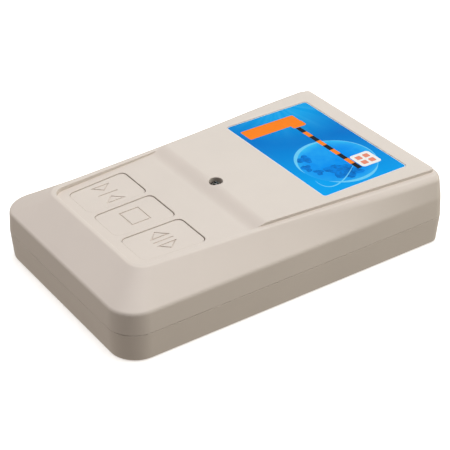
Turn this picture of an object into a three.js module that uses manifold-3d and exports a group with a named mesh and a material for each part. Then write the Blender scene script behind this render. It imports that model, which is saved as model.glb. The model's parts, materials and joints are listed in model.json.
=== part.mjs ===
// A handheld three-key controller for a road barrier: a moulded two-part case with a sunken
// key deck, a raised label panel, a status light, a circuit board and a 9 V battery behind a
// sliding door.
// Millimetres. X is the width, Y the length with the keys at the -Y end, Z is up from the base.
import * as THREE from "three";
import { mergeVertices } from "three/addons/utils/BufferGeometryUtils.js";
import Module from "manifold-3d";

const wasm = await Module();
wasm.setup();

// ---- driving dimensions ----
const GAP = 0.3;                // clearance between neighbouring pieces
const WALL = 2.2;               // case wall thickness

const HALF_WIDTH = 44.7;        // case, at the seam
const HALF_LENGTH = 70;
const NEAR_CORNER = 11;         // plan corner radius at the key end
const FAR_CORNER = 4.9;         // and at the label end
const SEAM_Z = 11.2;
const BELT_Z = 19.5;            // where the upright band turns into the sloping flank
const BASE_INSET = 0.86;        // draft of the lower half
const BELT_INSET = 0.45;        // draft of the upper half
const BASE_EDGE = 1.0;          // rounding at the bottom edge

const PANEL_Z = 28.8;           // label panel
const PANEL_MID_HALF = 33.45;   // panel half width at y = 0
const PANEL_TAPER = 0.0757;     // half width gained per millimetre towards the label end
const PANEL_NEAR_Y = -55.2;
const PANEL_FAR_Y = 68.3;
const PANEL_NEAR_CORNER = 5;
const PANEL_FAR_CORNER = 1.6;
const RAMP_FOOT_Y = -11.5;      // the key deck climbs to the label panel between these
const RAMP_TOP_Y = -3.5;

const DECK_NEAR_Z = 26;         // key deck height at the panel's near edge
const DECK_FOOT_Z = 26.95;      // and at the foot of the ramp
const RIM_Z = 27.65;            // rim round the deck and the panel
const RIM_AIM = 1.1;            // offset from the panel of the line that the flanks aim at
const NEAR_RIM_AIM = 0.55;      // the same at the near end, where the rim is narrower
const RIM_AIM_RISE = 0.6;       // height of that line above the rim
const SWELL_RISE = 0.8;         // share of the flanks' height at which they swell outwards
const SWELL = 0.42;             // and how far at the label end, as a share of their width
const PLATE = 2.0;              // thickness of the deck and of the panel

const LABEL_HALF_WIDTH = 31;
const LABEL_NEAR_Y = 22.6;
const LABEL_FAR_Y = 61.1;
const LABEL_CORNER = 1.2;
const LABEL_THICKNESS = 0.3;
const LABEL_RECESS = 0.75;

const LIGHT_Y = -3.4;           // status light
const LIGHT_HOLE_RADIUS = 2.8;

const KEY_NEAR_Y = -50.4;
const KEY_FAR_Y = -26;
const KEY_MARGIN = 3.5;         // from the deck's wall to an outer key
const KEY_WEB = 2.4;            // deck left between two keys
const MIDDLE_KEY_SHARE = 0.27;  // middle key's half width over the deck's
const KEY_CORNER = 2.6;
const KEY_SUNK = 0.3;           // key top below the deck
const KEY_X = 18.8;             // centre of an outer key
const KEY_Y = -38;
const KEY_TRAVEL = 0.5;
const FLANGE = 0.8;             // keeps the key under the deck
const FLANGE_THICKNESS = 1.2;
const POST_RADIUS = 2.2;        // post under a key, above its switch
const ICON_DEPTH = 0.3;
const ICON_LINE = 0.75;
const ICON_HEIGHT = 8;
const SQUARE_HALF_WIDTH = 4.6;
const ARROW_NEAR = 2.1;         // reach of an arrow from its key's bar
const ARROW_FAR = 6.0;
const ARROW_HOLE_SHARE = 0.52;

const BOARD_Z = 12.6;           // underside of the circuit board
const BOARD_THICKNESS = 1.6;
const BOARD_TOP = BOARD_Z + BOARD_THICKNESS;
const BOARD_HALF_WIDTH = 34.5;
const BOARD_NEAR_Y = -50;
const BOARD_FAR_Y = 6;
const BOARD_SCREWS = [[-31.5, -46], [31.5, -46], [-31.5, 1.5], [31.5, 1.5]];
const CASE_SCREWS = [[-35, -57.5], [35, -57.5], [-37, 62.3], [37, 62.3]];
const COLUMN_RADIUS = 4;        // columns of the lower shell that the case screws pass through
const SOCKET_RADIUS = 3.6;      // columns of the upper shell that they bite into
const CASE_BORE = 1.75;
const CASE_BORE_TOP = 19.5;
const SCREW_WAY = 1.8;
const HEAD_SINK = { radius: 3.2, z: 4.5 };
const BOARD_BOSS_RADIUS = 2.5;
const BOARD_BORE = 1.45;
const BOARD_BORE_TOP = 20;

const BATTERY = { width: 26.5, length: 46.4, height: 17.5, nearY: 13.7, z: 3.0 };
const TERMINALS = [
  { x: -6.35, radius: 2.9, sides: 20 },
  { x: 6.35, radius: 3.9, sides: 6 },
];
const TERMINAL_HEIGHT = 2.1;
const TERMINAL_Z = BATTERY.z + BATTERY.height / 2;
const SNAP = { halfWidth: 12.6, halfHeight: 6 };
const BAY = { half: 13.9, nearY: 9.1, farY: 60.7, roofZ: 20.9, wall: 1.4 };
const DOOR_Z = 0.2;
const DOOR_TOP = 2.4;
const DOOR_HALF = 14.0;
const TONGUE_HALF = 15.2;
const TONGUE_Z = 1.5;
const RAIL_HALF = 17.2;
const RAIL_Z = 4.4;

const GRIP = { count: 5, half: 7, fromEnd: 14, pitch: 2.2, width: 1, depth: 0.6 };

const LEAD_X = 4;
const LEAD_RADIUS = 0.7;

const ABOVE = PANEL_Z + 10;     // clear of the whole case, for tools that cut through its top
const BELOW = -1;

// ---- heights along the length ----
// The height at y on the line through (y0, z0) and (y1, z1).
function along(y, y0, z0, y1, z1) {
  return z0 + ((z1 - z0) * (y - y0)) / (y1 - y0);
}

function deckHeight(y) {
  return along(y, PANEL_NEAR_Y, DECK_NEAR_Z, RAMP_FOOT_Y, DECK_FOOT_Z);
}

function panelHalf(y) {
  return PANEL_MID_HALF + PANEL_TAPER * y;
}

const DECK_TILT = Math.atan2(DECK_FOOT_Z - DECK_NEAR_Z, RAMP_FOOT_Y - PANEL_NEAR_Y);

// ---- solids ----
function toSolid(geometry) {
  const bare = geometry.clone();
  bare.deleteAttribute("normal");
  bare.deleteAttribute("uv");
  const merged = mergeVertices(bare, 1e-4);
  return new wasm.Manifold(
    new wasm.Mesh({
      numProp: 3,
      vertProperties: new Float32Array(merged.attributes.position.array),
      triVerts: new Uint32Array(merged.index.array),
    }),
  );
}

function toGeometry(solid) {
  const mesh = solid.getMesh();
  const geometry = new THREE.BufferGeometry();
  geometry.setAttribute("position", new THREE.BufferAttribute(mesh.vertProperties, 3));
  geometry.setIndex(new THREE.BufferAttribute(mesh.triVerts, 1));
  geometry.computeVertexNormals();
  return geometry;
}

function box(x0, x1, y0, y1, z0, z1) {
  const geometry = new THREE.BoxGeometry(x1 - x0, y1 - y0, z1 - z0);
  geometry.translate((x0 + x1) / 2, (y0 + y1) / 2, (z0 + z1) / 2);
  return toSolid(geometry);
}

function cylinder(x, y, z0, z1, radius, sides = 24) {
  const geometry = new THREE.CylinderGeometry(radius, radius, z1 - z0, sides);
  geometry.rotateX(Math.PI / 2);
  geometry.translate(x, y, (z0 + z1) / 2);
  return toSolid(geometry);
}

// A round rod along Y at the height of the battery's terminals.
function rodAlongY(x, y0, y1, radius, sides) {
  const geometry = new THREE.CylinderGeometry(radius, radius, y1 - y0, sides);
  geometry.translate(x, (y0 + y1) / 2, TERMINAL_Z);
  return toSolid(geometry);
}

// A solid turned about the upright line through (x, y), from a closed list of [radius, z].
function turned(x, y, profile, sides = 24) {
  const points = profile.map(([radius, z]) => new THREE.Vector2(radius, z));
  const geometry = new THREE.LatheGeometry(points, sides);
  geometry.rotateX(Math.PI / 2);
  geometry.translate(x, y, 0);
  return toSolid(geometry);
}

function shapeOf(points) {
  return new THREE.Shape(points.map(([x, y]) => new THREE.Vector2(x, y)));
}

function prism(points, z0, z1) {
  const geometry = new THREE.ExtrudeGeometry(shapeOf(points), { depth: z1 - z0, bevelEnabled: false });
  geometry.translate(0, 0, z0);
  return toSolid(geometry);
}

// A profile of [y, z] points run along X from -half to +half.
function crossPrism(profile, half) {
  const geometry = new THREE.ExtrudeGeometry(shapeOf(profile), { depth: 2 * half, bevelEnabled: false });
  geometry.rotateX(Math.PI / 2);
  geometry.rotateZ(Math.PI / 2);
  geometry.translate(-half, 0, 0);
  return toSolid(geometry);
}

function union(solids) {
  return solids.reduce((whole, solid) => whole.add(solid));
}

function cut(solid, tools) {
  return tools.reduce((rest, tool) => rest.subtract(tool), solid);
}

// ---- outlines ----
const ARC_STEPS = 6;
const SIDE_STATIONS = [-40, -26, RAMP_FOOT_Y, 4, 19, 34, 49];

// Right half of a closed outline that is symmetric about x = 0: a near corner, stations along
// a side that widens at a steady rate, and a far corner.
function outline({ nearY, farY, half, taper = 0, near, far, stations = [] }) {
  const right = [];
  const lean = Math.atan(taper);
  const centreX = (y, radius) => half(y) - radius * Math.sqrt(1 + taper * taper);
  const arc = (cy, radius, from, to) => {
    for (let i = 0; i <= ARC_STEPS; i += 1) {
      const angle = from + ((to - from) * i) / ARC_STEPS;
      const cx = centreX(cy, radius);
      right.push([cx + radius * Math.cos(angle), cy + radius * Math.sin(angle)]);
    }
  };
  arc(nearY + near, near, -Math.PI / 2, -lean);
  stations.forEach((y) => right.push([half(y), y]));
  arc(farY - far, far, -lean, Math.PI / 2);
  const left = right.map(([x, y]) => [-x, y]).reverse();
  return [...right, ...left];
}

function caseOutline(inset, stations = SIDE_STATIONS) {
  return outline({
    nearY: -HALF_LENGTH + inset,
    farY: HALF_LENGTH - inset,
    half: () => HALF_WIDTH - inset,
    near: NEAR_CORNER - inset,
    far: Math.max(FAR_CORNER - inset, 1),
    stations,
  });
}

// The panel's outline, grown by offset, and by nearOffset at its near end.
function panelOutline(offset, stations = [], nearOffset = offset) {
  return outline({
    nearY: PANEL_NEAR_Y - nearOffset,
    farY: PANEL_FAR_Y + Math.min(offset, 0.9),
    half: (y) => panelHalf(y) + offset * Math.sqrt(1 + PANEL_TAPER ** 2),
    taper: PANEL_TAPER,
    near: Math.max(PANEL_NEAR_CORNER + offset, 1),
    far: Math.max(PANEL_FAR_CORNER + offset, 0.8),
    stations,
  });
}

// A stack of outlines of equal point count, each lifted to its own height: an extrusion of the
// first outline whose layers are reshaped to the others.
function loft(levels) {
  const mark = (x, y) => `${Math.round(x * 1e3)},${Math.round(y * 1e3)}`;
  const layers = levels.length - 1;
  const geometry = new THREE.ExtrudeGeometry(shapeOf(levels[0].points), {
    depth: layers,
    steps: layers,
    bevelEnabled: false,
  });
  const order = new Map(levels[0].points.map(([x, y], i) => [mark(x, y), i]));
  const position = geometry.attributes.position;
  for (let i = 0; i < position.count; i += 1) {
    const level = levels[Math.round(position.getZ(i))];
    const [x, y] = level.points[order.get(mark(position.getX(i), position.getY(i)))];
    position.setXYZ(i, x, y, level.height(x, y));
  }
  return toSolid(geometry);
}

// ---- upper shell ----
const SHELL_BOTTOM = SEAM_Z + GAP / 2;
const LIP = 1.0;                 // lip of the lower shell, inside the upper shell's wall
const LIP_HEIGHT = 1.5;
const INNER_BELT_DROP = 1.2;
const CLIP_HALF = HALF_WIDTH + 5;
const RAMP_STEPS = 4;

// The line that the flanks swell out to, between the belt and the rim: it lies in the flank at
// mid length and stands further out towards the label end.
function swellLine(belt, rimEdge) {
  return belt.map(([x, y], i) => {
    const swell = SWELL * THREE.MathUtils.smoothstep(y, 0, HALF_LENGTH);
    const [rimX, rimY] = rimEdge[i];
    return [
      THREE.MathUtils.lerp(x, rimX, SWELL_RISE - swell),
      THREE.MathUtils.lerp(y, rimY, SWELL_RISE - swell),
    ];
  });
}

// Band and flanks, run on upwards past the rim so that the top can be cut from it.
function upperEnvelope() {
  const above = PANEL_Z + 3;
  const aimZ = RIM_Z + RIM_AIM_RISE;
  const belt = caseOutline(BELT_INSET);
  const rimEdge = panelOutline(RIM_AIM, SIDE_STATIONS, NEAR_RIM_AIM);
  return loft([
    { points: caseOutline(0), height: () => SHELL_BOTTOM },
    { points: belt, height: () => BELT_Z },
    { points: swellLine(belt, rimEdge), height: () => BELT_Z + (aimZ - BELT_Z) * SWELL_RISE },
    { points: rimEdge, height: () => aimZ },
    { points: rimEdge, height: () => above },
  ]);
}

// Everything above the rim, from the side.
function aboveRim() {
  const ends = HALF_LENGTH + 3;
  const high = PANEL_Z + 8;
  const line = [[ends, RIM_Z], [ends, high], [-ends, high], [-ends, RIM_Z]];
  return crossPrism(line, CLIP_HALF);
}

// The line of deck, ramp and panel from the side, sunk by drop, closed at the height edgeZ.
// The ramp leaves the deck and meets the panel gently, in half a wave.
function topProfile(edgeZ, drop) {
  const ends = HALF_LENGTH + 2;
  const ramp = [];
  for (let i = 0; i <= RAMP_STEPS; i += 1) {
    const share = (1 - Math.cos((Math.PI * i) / RAMP_STEPS)) / 2;
    const y = along(i, 0, RAMP_FOOT_Y, RAMP_STEPS, RAMP_TOP_Y);
    ramp.push([y, along(share, 0, DECK_FOOT_Z, 1, PANEL_Z) - drop]);
  }
  return [
    [-ends, edgeZ],
    [-ends, deckHeight(-ends) - drop],
    ...ramp,
    [ends, PANEL_Z - drop],
    [ends, edgeZ],
  ];
}

function upperHollow() {
  const inner = loft([
    { points: caseOutline(WALL), height: () => SHELL_BOTTOM - 1 },
    { points: caseOutline(WALL + BELT_INSET), height: () => BELT_Z - INNER_BELT_DROP },
    { points: panelOutline(-0.5, SIDE_STATIONS), height: () => RIM_Z + 1 },
  ]);
  const ceiling = crossPrism(topProfile(SHELL_BOTTOM - 2, PLATE), CLIP_HALF);
  const bosses = [
    ...BOARD_SCREWS.map(([x, y]) => cylinder(x, y, BOARD_TOP + GAP, PANEL_Z, BOARD_BOSS_RADIUS)),
    ...CASE_SCREWS.map(([x, y]) => cylinder(x, y, SHELL_BOTTOM, PANEL_Z, SOCKET_RADIUS)),
  ];
  return cut(inner.intersect(ceiling), bosses);
}

function labelOutline(grow) {
  return outline({
    nearY: LABEL_NEAR_Y - grow,
    farY: LABEL_FAR_Y + grow,
    half: () => LABEL_HALF_WIDTH + grow,
    near: LABEL_CORNER + grow,
    far: LABEL_CORNER + grow,
  });
}

function upperShell() {
  const aboveTop = crossPrism(topProfile(PANEL_Z + 6, 0), CLIP_HALF);
  // The panel stands inside the well's wall by a hair, so that the two never share a face.
  const hair = 0.02;
  const panelBlock = prism(panelOutline(0), SHELL_BOTTOM, ABOVE);
  const well = prism(panelOutline(hair), SHELL_BOTTOM, ABOVE);
  const body = cut(upperEnvelope(), [aboveRim().subtract(panelBlock), well.intersect(aboveTop)]);
  const rebate = prism(caseOutline(WALL - LIP - GAP, []), BELOW, SEAM_Z + LIP_HEIGHT + GAP);
  const sockets = CASE_SCREWS.map(([x, y]) => cylinder(x, y, BELOW - 1, BELT_Z, SOCKET_RADIUS));
  return cut(body, [
    upperHollow(),
    rebate.subtract(union(sockets)),
    prism(labelOutline(GAP), PANEL_Z - LABEL_RECESS, ABOVE),
    cylinder(0, LIGHT_Y, BELT_Z, ABOVE, LIGHT_HOLE_RADIUS, 32),
    ...KEYS.map((key) => keyPrism(key, GAP, -2 * PLATE, PLATE)),
    ...CASE_SCREWS.map(([x, y]) => cylinder(x, y, BELOW, CASE_BORE_TOP, CASE_BORE, 16)),
    ...BOARD_SCREWS.map(([x, y]) => cylinder(x, y, BELOW, BOARD_BORE_TOP, BOARD_BORE, 16)),
  ]);
}

// ---- lower shell and door ----
const SHELL_TOP = SEAM_Z - GAP / 2;

function lowerEnvelope() {
  return loft([
    { points: caseOutline(BASE_INSET + BASE_EDGE * 0.8), height: () => 0 },
    { points: caseOutline(BASE_INSET + BASE_EDGE * 0.2), height: () => BASE_EDGE * 0.35 },
    { points: caseOutline(BASE_INSET), height: () => BASE_EDGE },
    { points: caseOutline(0), height: () => SHELL_TOP },
  ]);
}

function doorChannel() {
  const end = HALF_LENGTH + 1;
  return union([
    box(-DOOR_HALF - GAP, DOOR_HALF + GAP, BAY.nearY, end, BELOW, TONGUE_Z),
    box(-TONGUE_HALF - GAP, TONGUE_HALF + GAP, BAY.nearY, end, TONGUE_Z - GAP, DOOR_TOP + GAP),
  ]);
}

function lowerShell() {
  const inner = prism(caseOutline(WALL + BASE_INSET, []), WALL, SHELL_TOP + 5);
  const outerBay = BAY.half + BAY.wall;
  const startY = BAY.nearY - BAY.wall;
  const bayWalls = box(-outerBay, outerBay, startY, BAY.farY + BAY.wall, 0, BAY.roofZ + BAY.wall);
  const rails = box(-RAIL_HALF, RAIL_HALF, startY, HALF_LENGTH, 0, RAIL_Z);
  const columns = CASE_SCREWS.map(([x, y]) => cylinder(x, y, 0, SHELL_TOP, COLUMN_RADIUS));
  const lip = cut(prism(caseOutline(WALL - LIP, []), SHELL_TOP - LIP, SEAM_Z + LIP_HEIGHT), [
    prism(caseOutline(WALL + BASE_INSET, []), 0, BELT_Z),
    ...CASE_SCREWS.map(([x, y]) => cylinder(x, y, SHELL_TOP, BELT_Z, COLUMN_RADIUS + GAP)),
  ]);
  const leadWindow = box(-LEAD_X - 2, LEAD_X + 2, startY - 1, BAY.nearY + 1, 13.5, 18.5);
  return cut(union([lowerEnvelope(), bayWalls, lip]), [
    cut(inner, [...columns, bayWalls, rails]),
    box(-BAY.half, BAY.half, BAY.nearY, BAY.farY, DOOR_TOP, BAY.roofZ),
    leadWindow,
    doorChannel(),
    ...CASE_SCREWS.map(([x, y]) => cylinder(x, y, BELOW, HEAD_SINK.z, HEAD_SINK.radius)),
    ...CASE_SCREWS.map(([x, y]) => cylinder(x, y, BELOW, BELT_Z, SCREW_WAY, 16)),
  ]);
}

function batteryDoor() {
  const nearY = BAY.nearY + GAP;
  const end = HALF_LENGTH + 1;
  const plate = union([
    box(-DOOR_HALF, DOOR_HALF, nearY, end, DOOR_Z, DOOR_TOP),
    box(-TONGUE_HALF, TONGUE_HALF, nearY, end, TONGUE_Z + GAP, DOOR_TOP),
  ]);
  const grooves = Array.from({ length: GRIP.count }, (_, i) => {
    const y = HALF_LENGTH - GRIP.fromEnd + i * GRIP.pitch;
    return box(-GRIP.half, GRIP.half, y, y + GRIP.width, BELOW, DOOR_Z + GRIP.depth);
  });
  return cut(plate.intersect(lowerEnvelope()), grooves);
}

// ---- keys ----
const KEYS = [
  { name: "close", side: -1 },
  { name: "stop", side: 0 },
  { name: "open", side: 1 },
];

function middleKeyHalf(y) {
  return MIDDLE_KEY_SHARE * panelHalf(y);
}

// Left and right edge of a key at y.
function keyEdges(key, y) {
  const inner = middleKeyHalf(y);
  if (key.side === 0) return [-inner, inner];
  const edges = [inner + KEY_WEB, panelHalf(y) - KEY_MARGIN];
  return key.side > 0 ? edges : [-edges[1], -edges[0]];
}

function keyShape(key, grow) {
  const nearY = KEY_NEAR_Y - grow;
  const farY = KEY_FAR_Y + grow;
  const radius = KEY_CORNER + grow * 0.5;
  const [nearLeft, nearRight] = keyEdges(key, nearY);
  const [farLeft, farRight] = keyEdges(key, farY);
  const corners = [
    [nearLeft - grow, nearY],
    [nearRight + grow, nearY],
    [farRight + grow, farY],
    [farLeft - grow, farY],
  ].map(([x, y]) => new THREE.Vector2(x, y));
  const shape = new THREE.Shape();
  corners.forEach((corner, i) => {
    const before = corners[(i + 3) % 4].clone().sub(corner).setLength(radius).add(corner);
    const after = corners[(i + 1) % 4].clone().sub(corner).setLength(radius).add(corner);
    if (i === 0) shape.moveTo(before.x, before.y);
    else shape.lineTo(before.x, before.y);
    shape.quadraticCurveTo(corner.x, corner.y, after.x, after.y);
  });
  return shape;
}

// The deck's own frame: x and y as in the case, z square to the deck, from its surface.
const deckFrame = new THREE.Matrix4()
  .makeTranslation(0, KEY_Y, deckHeight(KEY_Y))
  .multiply(new THREE.Matrix4().makeRotationX(DECK_TILT))
  .multiply(new THREE.Matrix4().makeTranslation(0, -KEY_Y, 0));

function onDeck(shape, z0, z1, segments = 5) {
  const options = { depth: z1 - z0, bevelEnabled: false, curveSegments: segments };
  const geometry = new THREE.ExtrudeGeometry(shape, options);
  geometry.translate(0, 0, z0);
  geometry.applyMatrix4(deckFrame);
  return toSolid(geometry);
}

function keyPrism(key, grow, z0, z1) {
  return onDeck(keyShape(key, grow), z0, z1);
}

// A closed outline with the same outline, drawn in, as its hole.
function ring(points, inward) {
  const centre = new THREE.Vector2();
  points.forEach(([x, y]) => centre.add(new THREE.Vector2(x, y)));
  centre.divideScalar(points.length);
  const shape = shapeOf(points);
  const inner = points.map(([x, y]) => [
    centre.x + (x - centre.x) * inward,
    centre.y + (y - centre.y) * inward,
  ]);
  shape.holes.push(new THREE.Path(inner.map(([x, y]) => new THREE.Vector2(x, y))));
  return shape;
}

function iconShapes(key) {
  const half = ICON_HEIGHT / 2;
  if (key.side === 0) {
    const square = [
      [-SQUARE_HALF_WIDTH, KEY_Y - half],
      [SQUARE_HALF_WIDTH, KEY_Y - half],
      [SQUARE_HALF_WIDTH, KEY_Y + half],
      [-SQUARE_HALF_WIDTH, KEY_Y + half],
    ];
    return [ring(square, 1 - (2 * ICON_LINE) / ICON_HEIGHT)];
  }
  const x = key.side * KEY_X;
  const bar = shapeOf([
    [x - ICON_LINE / 2, KEY_Y - half],
    [x + ICON_LINE / 2, KEY_Y - half],
    [x + ICON_LINE / 2, KEY_Y + half],
    [x - ICON_LINE / 2, KEY_Y + half],
  ]);
  // On the open key the arrows point away from the bar, on the close key towards it.
  const base = key.side > 0 ? ARROW_NEAR : ARROW_FAR;
  const tip = key.side > 0 ? ARROW_FAR : ARROW_NEAR;
  const arrows = [-1, 1].map((hand) => {
    const baseX = x + hand * base;
    const triangle = [[baseX, KEY_Y - half], [x + hand * tip, KEY_Y], [baseX, KEY_Y + half]];
    return ring(hand * key.side > 0 ? triangle : triangle.reverse(), ARROW_HOLE_SHARE);
  });
  return [bar, ...arrows];
}

function keyCap(key) {
  const flangeTop = -PLATE - GAP;
  const flangeBottom = flangeTop - FLANGE_THICKNESS;
  const overlap = 0.2;
  const postTop = deckHeight(KEY_Y) - PLATE - FLANGE_THICKNESS;
  const body = union([
    keyPrism(key, 0, flangeBottom + overlap, -KEY_SUNK),
    keyPrism(key, FLANGE, flangeBottom, flangeTop),
    cylinder(key.side * KEY_X, KEY_Y, PLUNGER_TOP + GAP, postTop, POST_RADIUS),
  ]);
  const groove = -KEY_SUNK - ICON_DEPTH;
  return cut(body, iconShapes(key).map((shape) => onDeck(shape, groove, PLATE)));
}

// ---- on the circuit board ----
const SWITCH_Z = BOARD_TOP + GAP;
const SWITCH_HALF = 3;
const SWITCH_HEIGHT = 3.7;
const SWITCH_FLOOR = 1;          // of the plunger's bore, above the switch's underside
const LEG = { x: 3.4, y: 2.25, halfX: 0.5, halfY: 0.35, height: 1.4 };
const PLUNGER_RADIUS = 1.6;
const PLUNGER_TOP = 20;
const PLUNGER_REST = 0.4;        // left under the plunger when the key is fully down
const PLUNGER_BOTTOM = SWITCH_Z + SWITCH_FLOOR + PLUNGER_REST + KEY_TRAVEL;

function tactSwitch(key) {
  const x = key.side * KEY_X;
  const body = box(
    x - SWITCH_HALF,
    x + SWITCH_HALF,
    KEY_Y - SWITCH_HALF,
    KEY_Y + SWITCH_HALF,
    SWITCH_Z,
    SWITCH_Z + SWITCH_HEIGHT,
  );
  const legs = [-1, 1].flatMap((sideX) =>
    [-1, 1].map((sideY) => {
      const legX = x + sideX * LEG.x;
      const legY = KEY_Y + sideY * LEG.y;
      const top = SWITCH_Z + LEG.height;
      return box(legX - LEG.halfX, legX + LEG.halfX, legY - LEG.halfY, legY + LEG.halfY, SWITCH_Z, top);
    }),
  );
  const bore = cylinder(x, KEY_Y, SWITCH_Z + SWITCH_FLOOR, PLUNGER_TOP, PLUNGER_RADIUS + GAP);
  return union([body, ...legs]).subtract(bore);
}

function switchPlunger(key) {
  return cylinder(key.side * KEY_X, KEY_Y, PLUNGER_BOTTOM, PLUNGER_TOP, PLUNGER_RADIUS);
}

const LED_BASE_Z = 19;
const LED_RADIUS = 2.5;
const LED_TOP = 28.3;
const LED_FLANGE_RADIUS = 2.75;
const LED_LEG_X = 1.27;
const LED_LEG_HALF = 0.25;
const LED_LEG_BORE = 0.65;

function circuitBoard() {
  const board = box(-BOARD_HALF_WIDTH, BOARD_HALF_WIDTH, BOARD_NEAR_Y, BOARD_FAR_Y, BOARD_Z, BOARD_TOP);
  return cut(board, [
    ...BOARD_SCREWS.map(([x, y]) => cylinder(x, y, BOARD_Z - 1, BOARD_TOP + 1, 1.5, 16)),
    ...[-1, 1].map((side) =>
      cylinder(side * LED_LEG_X, LIGHT_Y, BOARD_Z - 1, BOARD_TOP + 1, LED_LEG_BORE, 10),
    ),
  ]);
}

function statusLed() {
  const shoulder = LED_TOP - LED_RADIUS;
  const dome = [0, 1, 2, 3, 4].map((i) => {
    const angle = (i * Math.PI) / 10;
    return [LED_RADIUS * Math.cos(angle), shoulder + LED_RADIUS * Math.sin(angle)];
  });
  const profile = [
    [0, LED_BASE_Z],
    [LED_FLANGE_RADIUS, LED_BASE_Z],
    [LED_FLANGE_RADIUS, LED_BASE_Z + 1],
    [LED_RADIUS, LED_BASE_Z + 1],
    ...dome,
    [0, LED_TOP],
  ];
  const bulb = turned(0, LIGHT_Y, profile, 16);
  const [legNear, legFar] = [LIGHT_Y - LED_LEG_HALF, LIGHT_Y + LED_LEG_HALF];
  const legs = [-1, 1].map((side) => {
    const x = side * LED_LEG_X;
    return box(x - LED_LEG_HALF, x + LED_LEG_HALF, legNear, legFar, BOARD_Z - 1.2, LED_BASE_Z + 0.5);
  });
  return union([bulb, ...legs]);
}

function ledSpacer() {
  const bore = 1.9;
  const top = LED_BASE_Z - GAP;
  return turned(0, LIGHT_Y, [
    [bore, SWITCH_Z],
    [LED_FLANGE_RADIUS, SWITCH_Z],
    [LED_FLANGE_RADIUS, top],
    [bore, top],
    [bore, SWITCH_Z],
  ]);
}

const CHIP = { x: 13, y: -15, halfX: 5.1, halfY: 3.7, pins: 8, pitch: 1.27, pinHalf: 0.2 };

function controllerChip() {
  const { x, y, halfX, halfY } = CHIP;
  const body = box(x - halfX, x + halfX, y - halfY, y + halfY, SWITCH_Z + 0.3, SWITCH_Z + 2.6);
  const pins = [-1, 1].flatMap((side) =>
    Array.from({ length: CHIP.pins }, (_, i) => {
      const pinX = x + (i - (CHIP.pins - 1) / 2) * CHIP.pitch;
      const across = (from, to, z0, z1) => {
        const ends = [y + side * from, y + side * to].sort((a, b) => a - b);
        return box(pinX - CHIP.pinHalf, pinX + CHIP.pinHalf, ...ends, SWITCH_Z + z0, SWITCH_Z + z1);
      };
      return union([across(halfY - 0.2, halfY + 0.9, 1.1, 1.4), across(halfY + 0.8, halfY + 1.2, 0, 1.25)]);
    }),
  );
  const dot = cylinder(x - halfX + 1, y - halfY + 1, SWITCH_Z + 2.45, SWITCH_Z + 4, 0.5, 12);
  return union([body, ...pins]).subtract(dot);
}

const CRYSTAL = { x: -9, y: -15, half: 3.4, flangeRadius: 2.3, canRadius: 1.9, height: 3.6 };

function crystal() {
  const { x, y, half } = CRYSTAL;
  const can = (radius, z0, z1) =>
    union([
      box(x - half, x + half, y - radius, y + radius, z0, z1),
      cylinder(x - half, y, z0, z1, radius, 20),
      cylinder(x + half, y, z0, z1, radius, 20),
    ]);
  return union([
    can(CRYSTAL.flangeRadius, SWITCH_Z, SWITCH_Z + 0.5),
    can(CRYSTAL.canRadius, SWITCH_Z + 0.4, SWITCH_Z + CRYSTAL.height),
  ]);
}

function resonatorCan() {
  return turned(-23, -13, [
    [0, SWITCH_Z],
    [4.6, SWITCH_Z],
    [4.6, SWITCH_Z + 0.5],
    [4.1, SWITCH_Z + 0.6],
    [4.1, SWITCH_Z + 3],
    [3.7, SWITCH_Z + 3.4],
    [0, SWITCH_Z + 3.4],
  ]);
}

function transistor() {
  const x = -23;
  const y = -1;
  const round = cylinder(x, y, SWITCH_Z + 2, SWITCH_Z + 6.6, 2.4, 20);
  const body = round.subtract(box(x - 4, x + 4, y - 4, y - 1.3, 10, 30));
  const legs = [-1.27, 0, 1.27].map((dx) =>
    box(x + dx - 0.22, x + dx + 0.22, y - 0.22, y + 0.22, SWITCH_Z, SWITCH_Z + 2.5),
  );
  return union([body, ...legs]);
}

function capacitor() {
  return turned(-11, 0, [
    [0, SWITCH_Z],
    [3.0, SWITCH_Z],
    [3.15, SWITCH_Z + 0.6],
    [2.95, SWITCH_Z + 1.1],
    [3.15, SWITCH_Z + 1.6],
    [3.15, SWITCH_Z + 6.8],
    [2.9, SWITCH_Z + 7],
    [0, SWITCH_Z + 7],
  ]);
}

const COIL = { x: 23, nearY: -14, farY: -1, z: SWITCH_Z + 4.2, radius: 2.6, wire: 0.45, turns: 6 };

// Leg up from the board, turns about an axis along Y, leg down to the board.
class CoilLine extends THREE.Curve {
  getPoint(t, target = new THREE.Vector3()) {
    const leg = 0.06;
    const start = Math.min(t / leg, 1);
    const end = Math.max((t - 1 + leg) / leg, 0);
    const share = THREE.MathUtils.clamp((t - leg) / (1 - 2 * leg), 0, 1);
    const angle = share * COIL.turns * 2 * Math.PI;
    const foot = SWITCH_Z + COIL.wire * 0.2;
    const drop = (COIL.z - foot) * Math.max(1 - start, end);
    return target.set(
      COIL.x + COIL.radius * Math.cos(angle),
      COIL.nearY + (COIL.farY - COIL.nearY) * share,
      COIL.z + COIL.radius * Math.sin(angle) - drop,
    );
  }
}

function circleShape(radius, sides) {
  return shapeOf(
    Array.from({ length: sides }, (_, i) => {
      const angle = (i * 2 * Math.PI) / sides;
      return [radius * Math.cos(angle), radius * Math.sin(angle)];
    }),
  );
}

function tube(path, radius, sides, steps) {
  const options = { steps, extrudePath: path, bevelEnabled: false };
  return toSolid(new THREE.ExtrudeGeometry(circleShape(radius, sides), options));
}

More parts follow.
